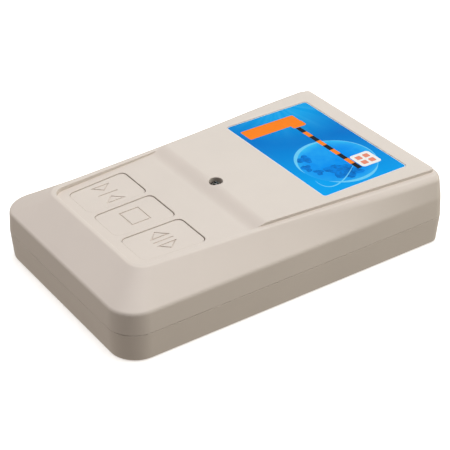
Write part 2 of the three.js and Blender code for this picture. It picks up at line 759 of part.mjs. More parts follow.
// ---- power ----
function battery() {
  const { nearY, z } = BATTERY;
  const farY = nearY + BATTERY.length;
  const topZ = z + BATTERY.height;
  const edge = 1.5;
  const bevel = 0.4;
  const profile = [
    [nearY, z + edge],
    [nearY + bevel, z],
    [farY - bevel, z],
    [farY, z + edge],
    [farY, topZ - edge],
    [farY - bevel, topZ],
    [nearY + bevel, topZ],
    [nearY, topZ - edge],
  ];
  const root = 0.5;
  const terminals = TERMINALS.map(({ x, radius, sides }) =>
    rodAlongY(x, nearY - TERMINAL_HEIGHT, nearY + root, radius, sides),
  );
  return union([crossPrism(profile, BATTERY.width / 2), ...terminals]);
}

function batterySnap() {
  const farY = BATTERY.nearY - GAP;
  const nearY = BAY.nearY + GAP;
  const [low, high] = [TERMINAL_Z - SNAP.halfHeight, TERMINAL_Z + SNAP.halfHeight];
  const plate = box(-SNAP.halfWidth, SNAP.halfWidth, nearY, farY, low, high);
  const floorY = BATTERY.nearY - TERMINAL_HEIGHT - GAP;
  return cut(plate, TERMINALS.map(({ x, radius }) => rodAlongY(x, floorY, farY + 1, radius + GAP, 24)));
}

function batteryLead(x) {
  const path = new THREE.CatmullRomCurve3([
    new THREE.Vector3(x, BAY.nearY, 16),
    new THREE.Vector3(x, BAY.nearY - 2.5, 16.4),
    new THREE.Vector3(x, BAY.nearY - 4.6, 16.3),
    new THREE.Vector3(x, BAY.nearY - 5.8, 15.6),
    new THREE.Vector3(x, BAY.nearY - 6.1, SWITCH_Z + 0.1),
  ]);
  return tube(path, LEAD_RADIUS, 8, 12);
}

// ---- screws ----
const CASE_SCREW = { headZ: 2.4, headHeight: 1.8, headRadius: 2.8, shankRadius: 1.4, tipZ: 17.5 };
const BOARD_SCREW = {
  headZ: BOARD_Z - GAP - 1.5,
  headHeight: 1.5,
  headRadius: 2.2,
  shankRadius: 1.1,
  tipZ: 19,
};

// A pan-head screw with a cross recess, head down.
function screw(x, y, { headZ, headHeight, headRadius, shankRadius, tipZ }) {
  const seat = headZ + headHeight;
  const profile = [
    [0, headZ],
    [headRadius * 0.8, headZ],
    [headRadius, headZ + headHeight * 0.45],
    [headRadius, seat],
    [shankRadius, seat],
    [shankRadius, tipZ - shankRadius],
    [0, tipZ],
  ];
  const body = turned(x, y, profile, 12);
  const arm = headRadius * 0.55;
  const thin = headRadius * 0.14;
  const depth = headZ + headHeight * 0.6;
  return cut(body, [
    box(x - arm, x + arm, y - thin, y + thin, headZ - 1, depth),
    box(x - thin, x + thin, y - arm, y + arm, headZ - 1, depth),
  ]);
}

// ---- materials ----
function finish(color, roughness, metalness = 0) {
  return new THREE.MeshStandardMaterial({ color, roughness, metalness });
}

const shellPlastic = () => finish(0xdfd5cc, 0.6);
const black = () => finish(0x1b1b1d, 0.5);
const steel = () => finish(0xb9bbbd, 0.35, 0.9);

// ---- assembly ----
const controller = new THREE.Group();

function add(name, solid, material) {
  const mesh = new THREE.Mesh(toGeometry(solid), material);
  mesh.name = name;
  controller.add(mesh);
}

add("lower_shell", lowerShell(), shellPlastic());
add("upper_shell", upperShell(), shellPlastic());
add("battery_door", batteryDoor(), shellPlastic());
const labelZ = PANEL_Z - LABEL_RECESS + GAP;
add("label", prism(labelOutline(0), labelZ, labelZ + LABEL_THICKNESS), finish(0x1177d8, 0.25));

KEYS.forEach((key) => {
  add(`key_${key.name}`, keyCap(key), shellPlastic());
  add(`switch_${key.name}`, tactSwitch(key), black());
  add(`plunger_${key.name}`, switchPlunger(key), finish(0x2b2b2e, 0.45));
});

add("circuit_board", circuitBoard(), finish(0x1d6b3a, 0.45));
add("status_led", statusLed(), finish(0x9aa09c, 0.1));
add("led_spacer", ledSpacer(), black());
add("controller_chip", controllerChip(), finish(0x222224, 0.4));
add("crystal", crystal(), steel());
add("resonator_can", resonatorCan(), steel());
add("transistor", transistor(), black());
add("capacitor", capacitor(), finish(0x20304a, 0.35));
add("antenna_coil", tube(new CoilLine(), COIL.wire, 5, COIL.turns * 10 + 8), finish(0xb87333, 0.3, 0.9));

add("battery", battery(), finish(0x2f3136, 0.4, 0.3));
add("battery_snap", batterySnap(), black());
add("lead_positive", batteryLead(-LEAD_X), finish(0xb5211d, 0.5));
add("lead_negative", batteryLead(LEAD_X), finish(0x161616, 0.5));

CASE_SCREWS.forEach(([x, y], i) => {
  add(`case_screw_${i + 1}`, screw(x, y, CASE_SCREW), steel());
});
BOARD_SCREWS.forEach(([x, y], i) => {
  add(`board_screw_${i + 1}`, screw(x, y, BOARD_SCREW), steel());
});

export default controller;
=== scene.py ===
"""A handheld three-key controller for a road barrier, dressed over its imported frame.

Lengths are written in millimetres and scaled on the way into Blender.
X is the width, Y the length with the keys at the -Y end, Z is up.
"""

import json
import math

import bmesh
import bpy
from mathutils import Matrix, Vector
from mathutils.geometry import delaunay_2d_cdt


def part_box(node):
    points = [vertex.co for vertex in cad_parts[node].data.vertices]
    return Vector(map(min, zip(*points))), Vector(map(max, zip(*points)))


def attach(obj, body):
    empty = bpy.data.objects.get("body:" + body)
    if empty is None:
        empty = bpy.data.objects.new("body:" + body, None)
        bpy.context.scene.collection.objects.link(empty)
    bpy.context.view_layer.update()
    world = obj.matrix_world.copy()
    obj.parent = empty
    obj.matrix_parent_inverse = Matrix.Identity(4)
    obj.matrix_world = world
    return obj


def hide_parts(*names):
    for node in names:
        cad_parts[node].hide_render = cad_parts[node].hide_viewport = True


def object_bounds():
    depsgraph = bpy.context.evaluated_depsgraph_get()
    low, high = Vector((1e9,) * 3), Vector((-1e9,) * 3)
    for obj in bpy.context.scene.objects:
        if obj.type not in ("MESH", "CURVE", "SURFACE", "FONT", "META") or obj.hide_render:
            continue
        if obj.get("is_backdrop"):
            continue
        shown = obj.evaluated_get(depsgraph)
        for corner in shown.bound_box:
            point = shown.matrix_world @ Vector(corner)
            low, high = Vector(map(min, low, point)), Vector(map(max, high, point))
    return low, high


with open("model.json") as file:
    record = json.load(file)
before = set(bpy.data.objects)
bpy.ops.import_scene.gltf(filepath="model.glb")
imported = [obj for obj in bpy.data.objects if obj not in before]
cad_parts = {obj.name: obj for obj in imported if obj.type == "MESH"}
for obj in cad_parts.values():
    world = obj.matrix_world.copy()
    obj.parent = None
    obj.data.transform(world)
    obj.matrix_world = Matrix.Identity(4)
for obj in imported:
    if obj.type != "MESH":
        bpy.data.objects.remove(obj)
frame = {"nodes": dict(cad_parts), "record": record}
cad_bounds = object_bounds()

MM = 0.001


def limits(node):
    """Lowest and highest corner of a CAD node, in millimetres."""
    low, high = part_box(node)
    return low / MM, high / MM


# ---- dimensions ----
# An edge is the reach of a rounding: how far from the corner its curve starts.
_, UPPER_HIGH = limits("upper_shell")
LABEL_LOW, LABEL_HIGH = limits("label")
LIGHT_LOW, LIGHT_HIGH = limits("status_led")
DOOR_LOW, DOOR_HIGH = limits("battery_door")

GAP = 0.3                     # clearance between neighbouring pieces
WALL = 2.2                    # case wall thickness
HALF_WIDTH = UPPER_HIGH.x     # case, at the seam
HALF_LENGTH = UPPER_HIGH.y
NEAR_CORNER = 11.0            # plan corner radius at the key end
FAR_CORNER = 4.9              # and at the label end
LEAST_CORNER = 1.0
SEAM_Z = 11.2
SEAM_GAP = 0.12               # the halves close up more than the CAD's clearance
SHELL_BOTTOM = SEAM_Z + SEAM_GAP / 2
SHELL_TOP = SEAM_Z - SEAM_GAP / 2
SEAM_EDGE = 0.14
BELT_Z = 19.5                 # where the upright band turns into the sloping flank
BELT_INSET = 0.45             # draft of the upper half
BELT_EDGE = 1.0
SWELL_RISE = 0.8              # share of the flanks' height at which they swell outwards
SWELL = 0.42                  # and how far at the label end, as a share of their width
SWELL_EDGE = 1.2
BASE_INSET = 0.86             # draft of the lower half
BASE_EDGE = 1.0
LIP = 1.0                     # lip of the lower shell, inside the upper shell's wall
LIP_HEIGHT = 1.5
LIP_EDGE = 0.1

PANEL_Z = UPPER_HIGH.z
PANEL_MID_HALF = 33.45        # panel half width at y = 0
PANEL_TAPER = 0.0757          # half width gained per millimetre towards the label end
PANEL_NEAR_Y = -55.2
PANEL_FAR_Y = 68.3
PANEL_NEAR_CORNER = 5.0
PANEL_FAR_CORNER = 1.6
PANEL_LEAST_CORNER = 0.8
PANEL_EDGE = 0.3
PANEL_BORDER = 1.2            # from the panel's edge to where its flat part is filled in
FAR_RIM = 0.9                 # most that the rim reaches past the panel at the label end
RAMP_FOOT_Y = -11.5           # the key deck climbs to the label panel between these
RAMP_TOP_Y = -3.5
DECK_NEAR_Z = 26.0
DECK_FOOT_Z = 26.95
RIM_Z = 27.65
RIM_EDGE = 0.55
RIM_AIM = 1.1                 # offset of the line that the flanks aim at
NEAR_RIM_AIM = 0.55           # the same at the near end, where the rim is narrower
RIM_AIM_RISE = 0.6            # and its height above the rim
PLATE = 2.0                   # thickness of the deck and of the panel

LIGHT_Y = (LIGHT_LOW.y + LIGHT_HIGH.y) / 2
LIGHT_HOLE_RADIUS = 2.6
LIGHT_HOLE_EDGE = 0.15
LIGHT_HOLE_DEPTH = PLATE + 0.6

KEYS = {"close": -1, "stop": 0, "open": 1}
KEY_NEAR_Y = -50.4
KEY_FAR_Y = -26.0
KEY_MARGIN = 3.5              # from the deck's wall to an outer key
KEY_WEB = 2.4                 # deck left between two keys
MIDDLE_KEY_SHARE = 0.27       # middle key's half width over the deck's
KEY_CORNER = 2.6
KEY_EDGE = 0.18
KEY_SUNK = 0.3                # key top below the deck
KEY_X = 18.8                  # an outer key's sign and post
KEY_Y = -38.0
KEY_GAP = 0.24                # round each key, a little under the CAD's clearance
KEY_REST = (-0.11, -0.06)     # where each key sits in the play of its hole
KEY_HOLE_EDGE = 0.12
FLANGE = 0.8                  # reach of a key's flange under the deck
FLANGE_THICKNESS = 1.2
POST_RADIUS = 2.2
POST_FOOT_Z = limits("key_stop")[0].z
ICON_HALF_HEIGHT = 4.0
ICON_LINE = 0.5               # width and depth of the engraved lines
ICON_DEPTH = 0.28
ICON_EDGE = 0.06
SQUARE_HALF_WIDTH = 4.6
ARROW_NEAR = 2.1              # an arrow's nearer and farther end from the sign's middle
ARROW_FAR = 6.0

LABEL_CORNER = 1.2
LABEL_EDGE = 0.1
LABEL_SPREAD = 0.15           # the film nearly fills its recess
FILM_EDGE = 0.08
FILM_BORDER = 0.3             # unprinted edge of the film

DOOR_HALF = 14.0
DOOR_EDGE = 0.15
TONGUE_Z = 1.5                # underside of the slot that the door's tongues run in
GRIP = {"count": 5, "half": 7.0, "from_end": 14.0, "pitch": 2.2, "width": 1.0, "depth": 0.55}

DECK_TILT = math.atan2(DECK_FOOT_Z - DECK_NEAR_Z, RAMP_FOOT_Y - PANEL_NEAR_Y)
PAST = 1.0                    # how far a cutting tool runs past the surface that it cuts


# ---- heights along the length ----
def along(y, y0, z0, y1, z1):
    return z0 + (z1 - z0) * (y - y0) / (y1 - y0)


def deck_height(y):
    return along(y, PANEL_NEAR_Y, DECK_NEAR_Z, RAMP_FOOT_Y, DECK_FOOT_Z)


def panel_half(y):
    return PANEL_MID_HALF + PANEL_TAPER * y


def top_height(y):
    """Deck, ramp and panel: the ramp leaves the deck and meets the panel in half a wave."""
    if y <= RAMP_FOOT_Y:
        return deck_height(y)
    share = min((y - RAMP_FOOT_Y) / (RAMP_TOP_Y - RAMP_FOOT_Y), 1.0)
    return DECK_FOOT_Z + (PANEL_Z - DECK_FOOT_Z) * (1 - math.cos(math.pi * share)) / 2


# ---- outlines, as lists of (x, y) ----
CORNER_STEPS = 14
FIRST_STATION = -44.0
STATION_STEP = 5.0
STATION_COUNT = 22
RAMP_STEP = 0.5


def stations():
    """Places along a long side: every few millimetres, and close together on the ramp."""
    found = [FIRST_STATION + STATION_STEP * i for i in range(STATION_COUNT)]
    ramp_from, ramp_to = RAMP_FOOT_Y - 3 * RAMP_STEP, RAMP_TOP_Y + RAMP_STEP
    steps = round((ramp_to - ramp_from) / RAMP_STEP)
    ramp = [ramp_from + RAMP_STEP * i for i in range(steps + 1)]
    clear = 2 * RAMP_STEP
    return sorted([y for y in found if not ramp_from - clear < y < ramp_to + clear] + ramp)


STATIONS = stations()


def outline(near_y, far_y, half, near, far, at, taper=0.0):
    """Closed outline, symmetric about x = 0, with a near and a far corner and stations between."""
    right = []
    lean = math.atan(taper)

    def arc(cy, radius, start, stop):
        cx = half(cy) - radius * math.sqrt(1 + taper * taper)
        for i in range(CORNER_STEPS + 1):
            angle = start + (stop - start) * i / CORNER_STEPS
            right.append((cx + radius * math.cos(angle), cy + radius * math.sin(angle)))

    arc(near_y + near, near, -math.pi / 2, -lean)
    right.extend((half(y), y) for y in at)
    arc(far_y - far, far, -lean, math.pi / 2)
    return right + [(-x, y) for x, y in reversed(right)]


def case_outline(inset, at=tuple(STATIONS)):
    return outline(
        -HALF_LENGTH + inset,
        HALF_LENGTH - inset,
        lambda y: HALF_WIDTH - inset,
        NEAR_CORNER - inset,
        max(FAR_CORNER - inset, LEAST_CORNER),
        at=at,
    )


SLANT = math.sqrt(1 + PANEL_TAPER**2)


def panel_outline(offset, near_offset=None):
    """The panel's outline, grown by offset, and by near_offset at its near end."""
    return outline(
        PANEL_NEAR_Y - (offset if near_offset is None else near_offset),
        PANEL_FAR_Y + min(offset, FAR_RIM),
        lambda y: panel_half(y) + offset * SLANT,
        max(PANEL_NEAR_CORNER + offset, LEAST_CORNER),
        max(PANEL_FAR_CORNER + offset, PANEL_LEAST_CORNER),
        taper=PANEL_TAPER,
        at=tuple(STATIONS),
    )


def rounded_box(x0, x1, y0, y1, radius, steps=6):
    points = []
    centres = [(x1 - radius, y0 + radius), (x1 - radius, y1 - radius)]
    centres += [(x0 + radius, y1 - radius), (x0 + radius, y0 + radius)]
    for corner, (cx, cy) in enumerate(centres):
        for i in range(steps + 1):
            angle = math.pi / 2 * (corner - 1 + i / steps)
            points.append((cx + radius * math.cos(angle), cy + radius * math.sin(angle)))
    return points


def circle(cx, cy, radius, steps=48):
    turn = 2 * math.pi / steps
    return [
        (cx + radius * math.cos(turn * i), cy + radius * math.sin(turn * i)) for i in range(steps)
    ]


def rounded_polygon(corners, radius):
    """A polygon whose corners are rounded by curves that start radius away from them."""
    points = []
    count, steps = len(corners), 8
    for i, corner in enumerate(corners):
        here = Vector(corner)
        before = here + (Vector(corners[i - 1]) - here).normalized() * radius
        after = here + (Vector(corners[(i + 1) % count]) - here).normalized() * radius
        for j in range(steps + 1):
            t = j / steps
            point = before * (1 - t) ** 2 + here * 2 * t * (1 - t) + after * t * t
            points.append((point.x, point.y))
    return points


LEAST_MITRE = 0.35            # keeps the mitre of a very sharp corner short
MOST_REACH = 0.45             # most of a side that the rounding of one of its corners takes


def grown(points, amount):
    """A counter-clockwise outline moved outwards by amount, with mitred corners."""
    result = []
    count = len(points)
    for i in range(count):
        before, here, after = (Vector(points[j % count]) for j in (i - 1, i, i + 1))
        first = (here - before).normalized()
        second = (after - here).normalized()
        normal = Vector((first.y + second.y, -first.x - second.x))
        normal = normal.normalized() if normal.length > 1e-6 else Vector((first.y, -first.x))
        stretch = max(normal.dot(Vector((first.y, -first.x))), LEAST_MITRE)
        moved = here + normal * amount / stretch
        result.append((moved.x, moved.y))
    return result


def inside(point, polygon):
    x, y = point
    hit = False
    for (x0, y0), (x1, y1) in zip(polygon, polygon[1:] + polygon[:1]):
        if (y0 > y) != (y1 > y) and x < (x1 - x0) * (y - y0) / (y1 - y0) + x0:
            hit = not hit
    return hit


def fillet(corners, reaches):
    """A polyline of 3-D points whose inner corners are rounded. Gives (point, corner or None)."""
    steps = 5
    result = [(corners[0], None)]
    for i in range(1, len(corners) - 1):
        here = corners[i]
        back, ahead = corners[i - 1] - here, corners[i + 1] - here
        reach = min(reaches[i - 1], back.length * MOST_REACH, ahead.length * MOST_REACH)
        start, stop = here + back.normalized() * reach, here + ahead.normalized() * reach
        for j in range(steps + 1):
            t = j / steps
            point = start * (1 - t) ** 2 + here * 2 * t * (1 - t) + stop * t * t
            result.append((point, i if 0 < j < steps else None))
    result.append((corners[-1], None))
    return result


# ---- mesh building ----
SHARP = math.radians(32)      # an edge bent more than this isn't shaded smooth
NEARLY_ZERO = 1e-4            # radius that stands for the axis of a turned piece


def level(points, z, worn_and_shaded=0.0):
    """A ring of a skin, with all its points at one height."""
    return [((x, y, z), worn_and_shaded) for x, y in points]


class Skin:
    """Collects surfaces in millimetres, each point with its wear and shade: 1 on a rubbed edge, -1 in
    a nook, where shade is painted.
    """

    def __init__(self):
        self.bm = bmesh.new()
        self.wear_and_shade = self.bm.verts.layers.float.new("wear_and_shade")

    def vert(self, point, wear_and_shade=0.0):
        made = self.bm.verts.new(Vector(point) * MM)
        made[self.wear_and_shade] = wear_and_shade
        return made

    def face(self, verts, material=0):
        unique = list(dict.fromkeys(verts))
        if len(unique) > 2 and not self.bm.faces.get(unique):
            self.bm.faces.new(unique).material_index = material

    def rings(self, rings, material=0):
        """rings: lists of (point, wear and shade) of one length, each joined to the next."""
        rows = [[self.vert(point, wear_and_shade) for point, wear_and_shade in ring] for ring in rings]
        for low, high in zip(rows, rows[1:]):
            count = len(low)
            for i in range(count):
                j = (i + 1) % count
                self.face([low[i], low[j], high[j], high[i]], material)
        return rows

    def closed(self, rings):
        """The rings with a face over the first and the last."""
        rows = self.rings(rings)
        self.face(rows[0])
        self.face(rows[-1])

    def plane(self, outer, holes, height, lines=(), inks=()):
        """Triangles between an outline and its holes, lifted to height(x, y); lines are extra edges
        to follow the shape, and inks are (material, outline) pairs that colour what they cover."""
        points, edges = [], []
        loops = [(outer, True)] + [(hole, True) for hole in holes]
        loops += [(line, False) for line in lines] + [(shape, True) for _, shape in inks]
        for loop, closed in loops:
            first = len(points)
            points.extend(Vector(p) for p in loop)
            count = len(loop)
            edges.extend((first + i, first + (i + 1) % count) for i in range(count - (not closed)))
        made, _, faces, *_ = delaunay_2d_cdt(points, edges, [], 0, 1e-5)
        verts = {}
        for triangle in faces:
            centre = sum((made[i] for i in triangle), Vector((0, 0))) / len(triangle)
            if not inside(centre, outer) or any(inside(centre, hole) for hole in holes):
                continue
            for i in triangle:
                if i not in verts:
                    x, y = made[i]
                    verts[i] = self.vert((x, y, height(x, y)))
            ink = [material for material, shape in inks if inside(centre, shape)]
            self.face([verts[i] for i in triangle], ink[-1] if ink else 0)

    def dip(self, hole, height, radius, depth, floor=False):
        """The wall of a hole, from its rounded edge downwards; hole is the outline of the wall."""
        steps = 4
        rings = []
        for i in range(steps + 1):
            angle = math.pi / 2 * i / steps
            line = grown(hole, radius * (1 - math.sin(angle)))
            drop = radius * (1 - math.cos(angle))
            worn_and_shaded = 0.8 if 0 < i < steps else 0.0
            rings.append([((x, y, height(x, y) - drop), worn_and_shaded) for x, y in line])
        # The bottom of the wall takes -1: painted shade deep in the hole.
        rings.append([((x, y, height(x, y) - depth), -1.0) for x, y in hole])
        self.rings(rings)
        if floor:
            self.plane(hole, [], lambda x, y: height(x, y) - depth)

    def move(self, matrix):
        self.bm.transform(matrix)

    def build(self, name, materials, up=False, solid=False):
        """The mesh object. up turns an open surface's widest flat face to the sky; solid marks a
        body for cutting, whose normals are evened later."""
        bmesh.ops.remove_doubles(self.bm, verts=self.bm.verts, dist=2e-7)
        bmesh.ops.dissolve_degenerate(self.bm, edges=self.bm.edges, dist=1e-8)
        bmesh.ops.recalc_face_normals(self.bm, faces=self.bm.faces)
        if up:
            facing = max(self.bm.faces, key=lambda f: abs(f.normal.z) * f.calc_area())
            if facing.normal.z <= 0:
                bmesh.ops.reverse_faces(self.bm, faces=self.bm.faces)
        for edge in self.bm.edges:
            if len(edge.link_faces) == 2 and edge.calc_face_angle(0.0) > SHARP:
                edge.smooth = False
        for face in self.bm.faces:
            face.smooth = True
        mesh = bpy.data.meshes.new(name)
        self.bm.to_mesh(mesh)
        self.bm.free()
        piece = bpy.data.objects.new(name, mesh)
        bpy.context.scene.collection.objects.link(piece)
        for material in materials:
            mesh.materials.append(material)
        if not solid:
            even_normals(piece)
        return piece


def even_normals(piece):
    modifier = piece.modifiers.new("even_normals", "WEIGHTED_NORMAL")
    modifier.mode = "FACE_AREA"
    modifier.weight = 60
    modifier.keep_sharp = True


def baked(piece):
    """Applies a piece's modifiers."""
    graph = bpy.context.evaluated_depsgraph_get()
    mesh = bpy.data.meshes.new_from_object(piece.evaluated_get(graph))
    piece.modifiers.clear()
    piece.data = mesh
    return piece


def carve(piece, tool, operation="DIFFERENCE"):
    """Cuts the tool out of a piece, or joins or intersects them, and uses the tool up."""
    modifier = piece.modifiers.new("carve", "BOOLEAN")
    modifier.operation = operation
    modifier.solver = "EXACT"
    modifier.object = tool
    baked(piece)
    bpy.data.objects.remove(tool)


FLARE_HEIGHT = 0.3


def block(name, low, high, flare=0.0):
    """A box from low to high; with a flare, its bottom opens outwards like a chamfered edge."""
    skin = Skin()
    levels = [(low[2], 0.0), (high[2], 0.0)]
    if flare:
        levels = [(low[2], flare), (0.0, flare), (FLARE_HEIGHT, 0.0), (high[2], 0.0)]
    corners = [(low[0], low[1]), (high[0], low[1]), (high[0], high[1]), (low[0], high[1])]
    skin.closed([level(grown(corners, grow), z) for z, grow in levels])
    return skin.build(name, [], solid=True)


def turned(name, x, y, profile, materials=(), solid=False):
    """A solid of revolution about the upright line through (x, y), from (radius, z) pairs."""
    skin = Skin()
    skin.closed([level(circle(x, y, max(radius, NEARLY_ZERO)), z) for radius, z in profile])
    return skin.build(name, list(materials), solid=solid)


# ---- materials ----
def srgb(red, green, blue):
    def channel(value):
        value /= 255
        return value / 12.92 if value <= 0.04045 else ((value + 0.055) / 1.055) ** 2.4

    return (channel(red), channel(green), channel(blue), 1.0)


def shaded(colour, factor):
    return tuple(min(c * factor, 1.0) for c in colour[:3]) + (1.0,)


class Nodes:
    """Short names for building one material's node tree."""

    def __init__(self, name):
        self.material = bpy.data.materials.new(name)
        self.material.use_nodes = True
        self.tree = self.material.node_tree
        self.shader = self.tree.nodes["Principled BSDF"]

    def add(self, kind, settings=None, **inputs):
        node = self.tree.nodes.new(kind)
        for key, value in (settings or {}).items():
            setattr(node, key, value)
        for key, value in inputs.items():
            self.put(node, key.replace("_", " "), value)
        return node

    def put(self, node, name, value):
        socket = node.inputs[int(name)] if name.isdigit() else node.inputs[name]
        if isinstance(value, bpy.types.NodeSocket):
            self.tree.links.new(value, socket)
        else:
            socket.default_value = value

    def math(self, operation, first, second=0.0, clamp=False):
        node = self.add("ShaderNodeMath", {"operation": operation, "use_clamp": clamp})
        self.put(node, "0", first)
        self.put(node, "1", second)
        return node.outputs[0]

    def mix(self, share, first, second):
        node = self.add("ShaderNodeMix", {"data_type": "RGBA"})
        self.put(node, "0", share)
        self.put(node, "6", first)
        self.put(node, "7", second)
        return node.outputs[2]

    def place(self):
        return self.add("ShaderNodeTexCoord").outputs["Object"]

    def axes(self):
        """The place's x, y and z."""
        return self.add("ShaderNodeSeparateXYZ", Vector=self.place()).outputs

    def noise(self, scale, detail, roughness=0.5):
        settings = {"Scale": scale, "Detail": detail, "Roughness": roughness}
        return self.add("ShaderNodeTexNoise", Vector=self.place(), **settings).outputs[0]

    def ramp(self, value, low, high, to_low=0.0, to_high=1.0):
        node = self.add("ShaderNodeMapRange", {"clamp": True})
        for name, given in zip("01234", (value, low, high, to_low, to_high)):
            self.put(node, name, given)
        return node.outputs[0]

    def bump(self, height, strength, distance):
        node = self.add("ShaderNodeBump", Strength=strength, Distance=distance)
        self.put(node, "Height", height)
        self.put(self.shader, "Normal", node.outputs[0])

    def set(self, **inputs):
        for key, value in inputs.items():
            self.put(self.shader, key.replace("_", " "), value)
        return self.material


def plastic(name, colour, roughness, grain=0.05, grain_scale=5200, wear_and_shade=True, spread=0.05):
    """Moulded plastic: fine spark-eroded grain, faint flow mottling, rubbed edges, and painted shade
    in nooks.
    """
    n = Nodes(name)
    dark, light = shaded(colour, 1 - spread), shaded(colour, 1 + spread)
    mottle = n.mix(n.noise(38, 4.0, 0.55), dark, light)
    fine = n.noise(grain_scale, 2.0, 0.6)
    shade = n.mix(n.ramp(fine, 0.35, 0.65, 0.0, 0.08), mottle, dark)
    rough = n.math("ADD", roughness - 0.05, n.math("MULTIPLY", n.noise(260, 3.0), 0.1))
    if wear_and_shade:
        value = n.add("ShaderNodeAttribute", {"attribute_name": "wear_and_shade"}).outputs["Fac"]
        patchy = n.ramp(n.noise(120, 3.0), 0.3, 0.7, 0.35, 1.0)
        rubbed = n.math("MULTIPLY", n.math("MAXIMUM", value, 0.0), patchy, clamp=True)
        # Where the value is negative the colour is mixed darker: painted shade in nooks, at the foot
        # of walls and at the bottom of holes and grooves.
        nook_shade_mask = n.math("MAXIMUM", n.math("MULTIPLY", value, -1.0), 0.0, clamp=True)
        nook_shade_colour = tuple(c * f for c, f in zip(colour[:3], (0.74, 0.7, 0.64))) + (1.0,)
        shade = n.mix(n.math("MULTIPLY", rubbed, 0.7), shade, shaded(colour, 1.07))
        shade = n.mix(n.math("MULTIPLY", nook_shade_mask, 0.6), shade, nook_shade_colour)
        rough = n.math("SUBTRACT", rough, n.math("MULTIPLY", rubbed, 0.09))
    n.bump(fine, grain, 0.0002)
    return n.set(Base_Color=shade, Roughness=rough, IOR=1.5)


def metal(name, colour, roughness):
    """Bare metal, drawn lengthwise, with dull patches."""
    n = Nodes(name)
    brushed = 900
    drawn = (brushed, brushed / 12, brushed)
    streak = n.add("ShaderNodeMapping", Vector=n.place(), Scale=drawn).outputs[0]
    lines = n.add("ShaderNodeTexNoise", Vector=streak, Scale=1.0, Detail=4.0).outputs[0]
    shade = n.mix(n.ramp(n.noise(420, 4.0), 0.35, 0.75), colour, shaded(colour, 0.72))
    rough = n.ramp(lines, 0.2, 0.8, roughness - 0.08, roughness + 0.1)
    n.bump(lines, 0.08, 0.0001)
    return n.set(Base_Color=shade, Roughness=rough, Metallic=1.0)


def board_material():
    """Green solder mask with copper tracks showing through as lighter lines."""
    n = Nodes("board_laminate")
    kind = {"distance": "CHEBYCHEV", "feature": "F1"}
    cells = n.add("ShaderNodeTexVoronoi", kind, Vector=n.place(), Scale=210.0)
    track = n.ramp(cells.outputs["Distance"], 0.52, 0.56)
    green = n.mix(n.noise(60, 3.0), srgb(24, 92, 50), srgb(34, 112, 62))
    shade = n.mix(track, green, srgb(60, 146, 84))
    n.bump(track, 0.25, 0.00005)
    return n.set(Base_Color=shade, Roughness=0.34, Coat_Weight=0.3)


def battery_material(low, high):
    """A plain foil jacket: a pale end band over slate grey."""
    n = Nodes("battery_sleeve")
    edge = (low.y + (high.y - low.y) * 0.34) * MM
    band = n.math("LESS_THAN", n.axes()[1], edge)
    dark = n.mix(n.noise(70, 3.0), srgb(84, 94, 108), srgb(98, 108, 122))
    shade = n.mix(band, dark, srgb(182, 184, 188))
    rough = n.ramp(n.noise(300, 3.0), 0.3, 0.7, 0.24, 0.36)
    n.bump(n.noise(900, 2.0), 0.05, 0.0001)
    return n.set(Base_Color=shade, Roughness=rough, Metallic=0.35)


def lens_material():
    """Water-clear resin, a little streaky."""
    n = Nodes("led_resin")
    tint = n.mix(n.noise(900, 2.0), srgb(226, 229, 222), srgb(240, 242, 236))
    n.bump(n.noise(1500, 2.0), 0.03, 0.0001)
    return n.set(Base_Color=tint, Roughness=0.05, IOR=1.5, Transmission_Weight=1.0)


case_plastic = plastic("case_plastic", srgb(223, 213, 206), 0.52)
SLOT_MATERIALS = {
    "case_plastic": case_plastic,
    "board_laminate": board_material(),
    "black_plastic": plastic("black_plastic", srgb(38, 38, 41), 0.45, wear_and_shade=False, spread=0.15),
    "can_metal": metal("can_metal", srgb(196, 197, 200), 0.25),
    "capacitor_sleeve": plastic("capacitor_sleeve", srgb(30, 42, 84), 0.3, 0.02, 1200, wear_and_shade=False),
    "copper_wire": metal("copper_wire", srgb(196, 112, 66), 0.3),
    "battery_sleeve": battery_material(*limits("battery")),
    "red_insulation": plastic("red_insulation", srgb(176, 30, 26), 0.42, 0.03, 1500, wear_and_shade=False),
    "black_insulation": plastic("black_insulation", srgb(30, 30, 31), 0.42, 0.03, 1500, wear_and_shade=False),
    "screw_steel": metal("screw_steel", srgb(190, 191, 194), 0.3),
    "led_resin": lens_material(),
}
SLOT_OF = {part["node"]: part["material_slot"] for part in frame["record"]["subparts"]}

# Every node takes the finish of its slot; the skins below replace the ones that show most.
for node_name, node in frame["nodes"].items():
    finish = SLOT_MATERIALS.get(SLOT_OF[node_name], case_plastic)
    node.data.materials.clear()
    node.data.materials.append(finish)


# ---- upper shell ----
FULL_STEP = 0.6               # a step this high along the rim shows its full wear on its edge and its full painted shade at its foot


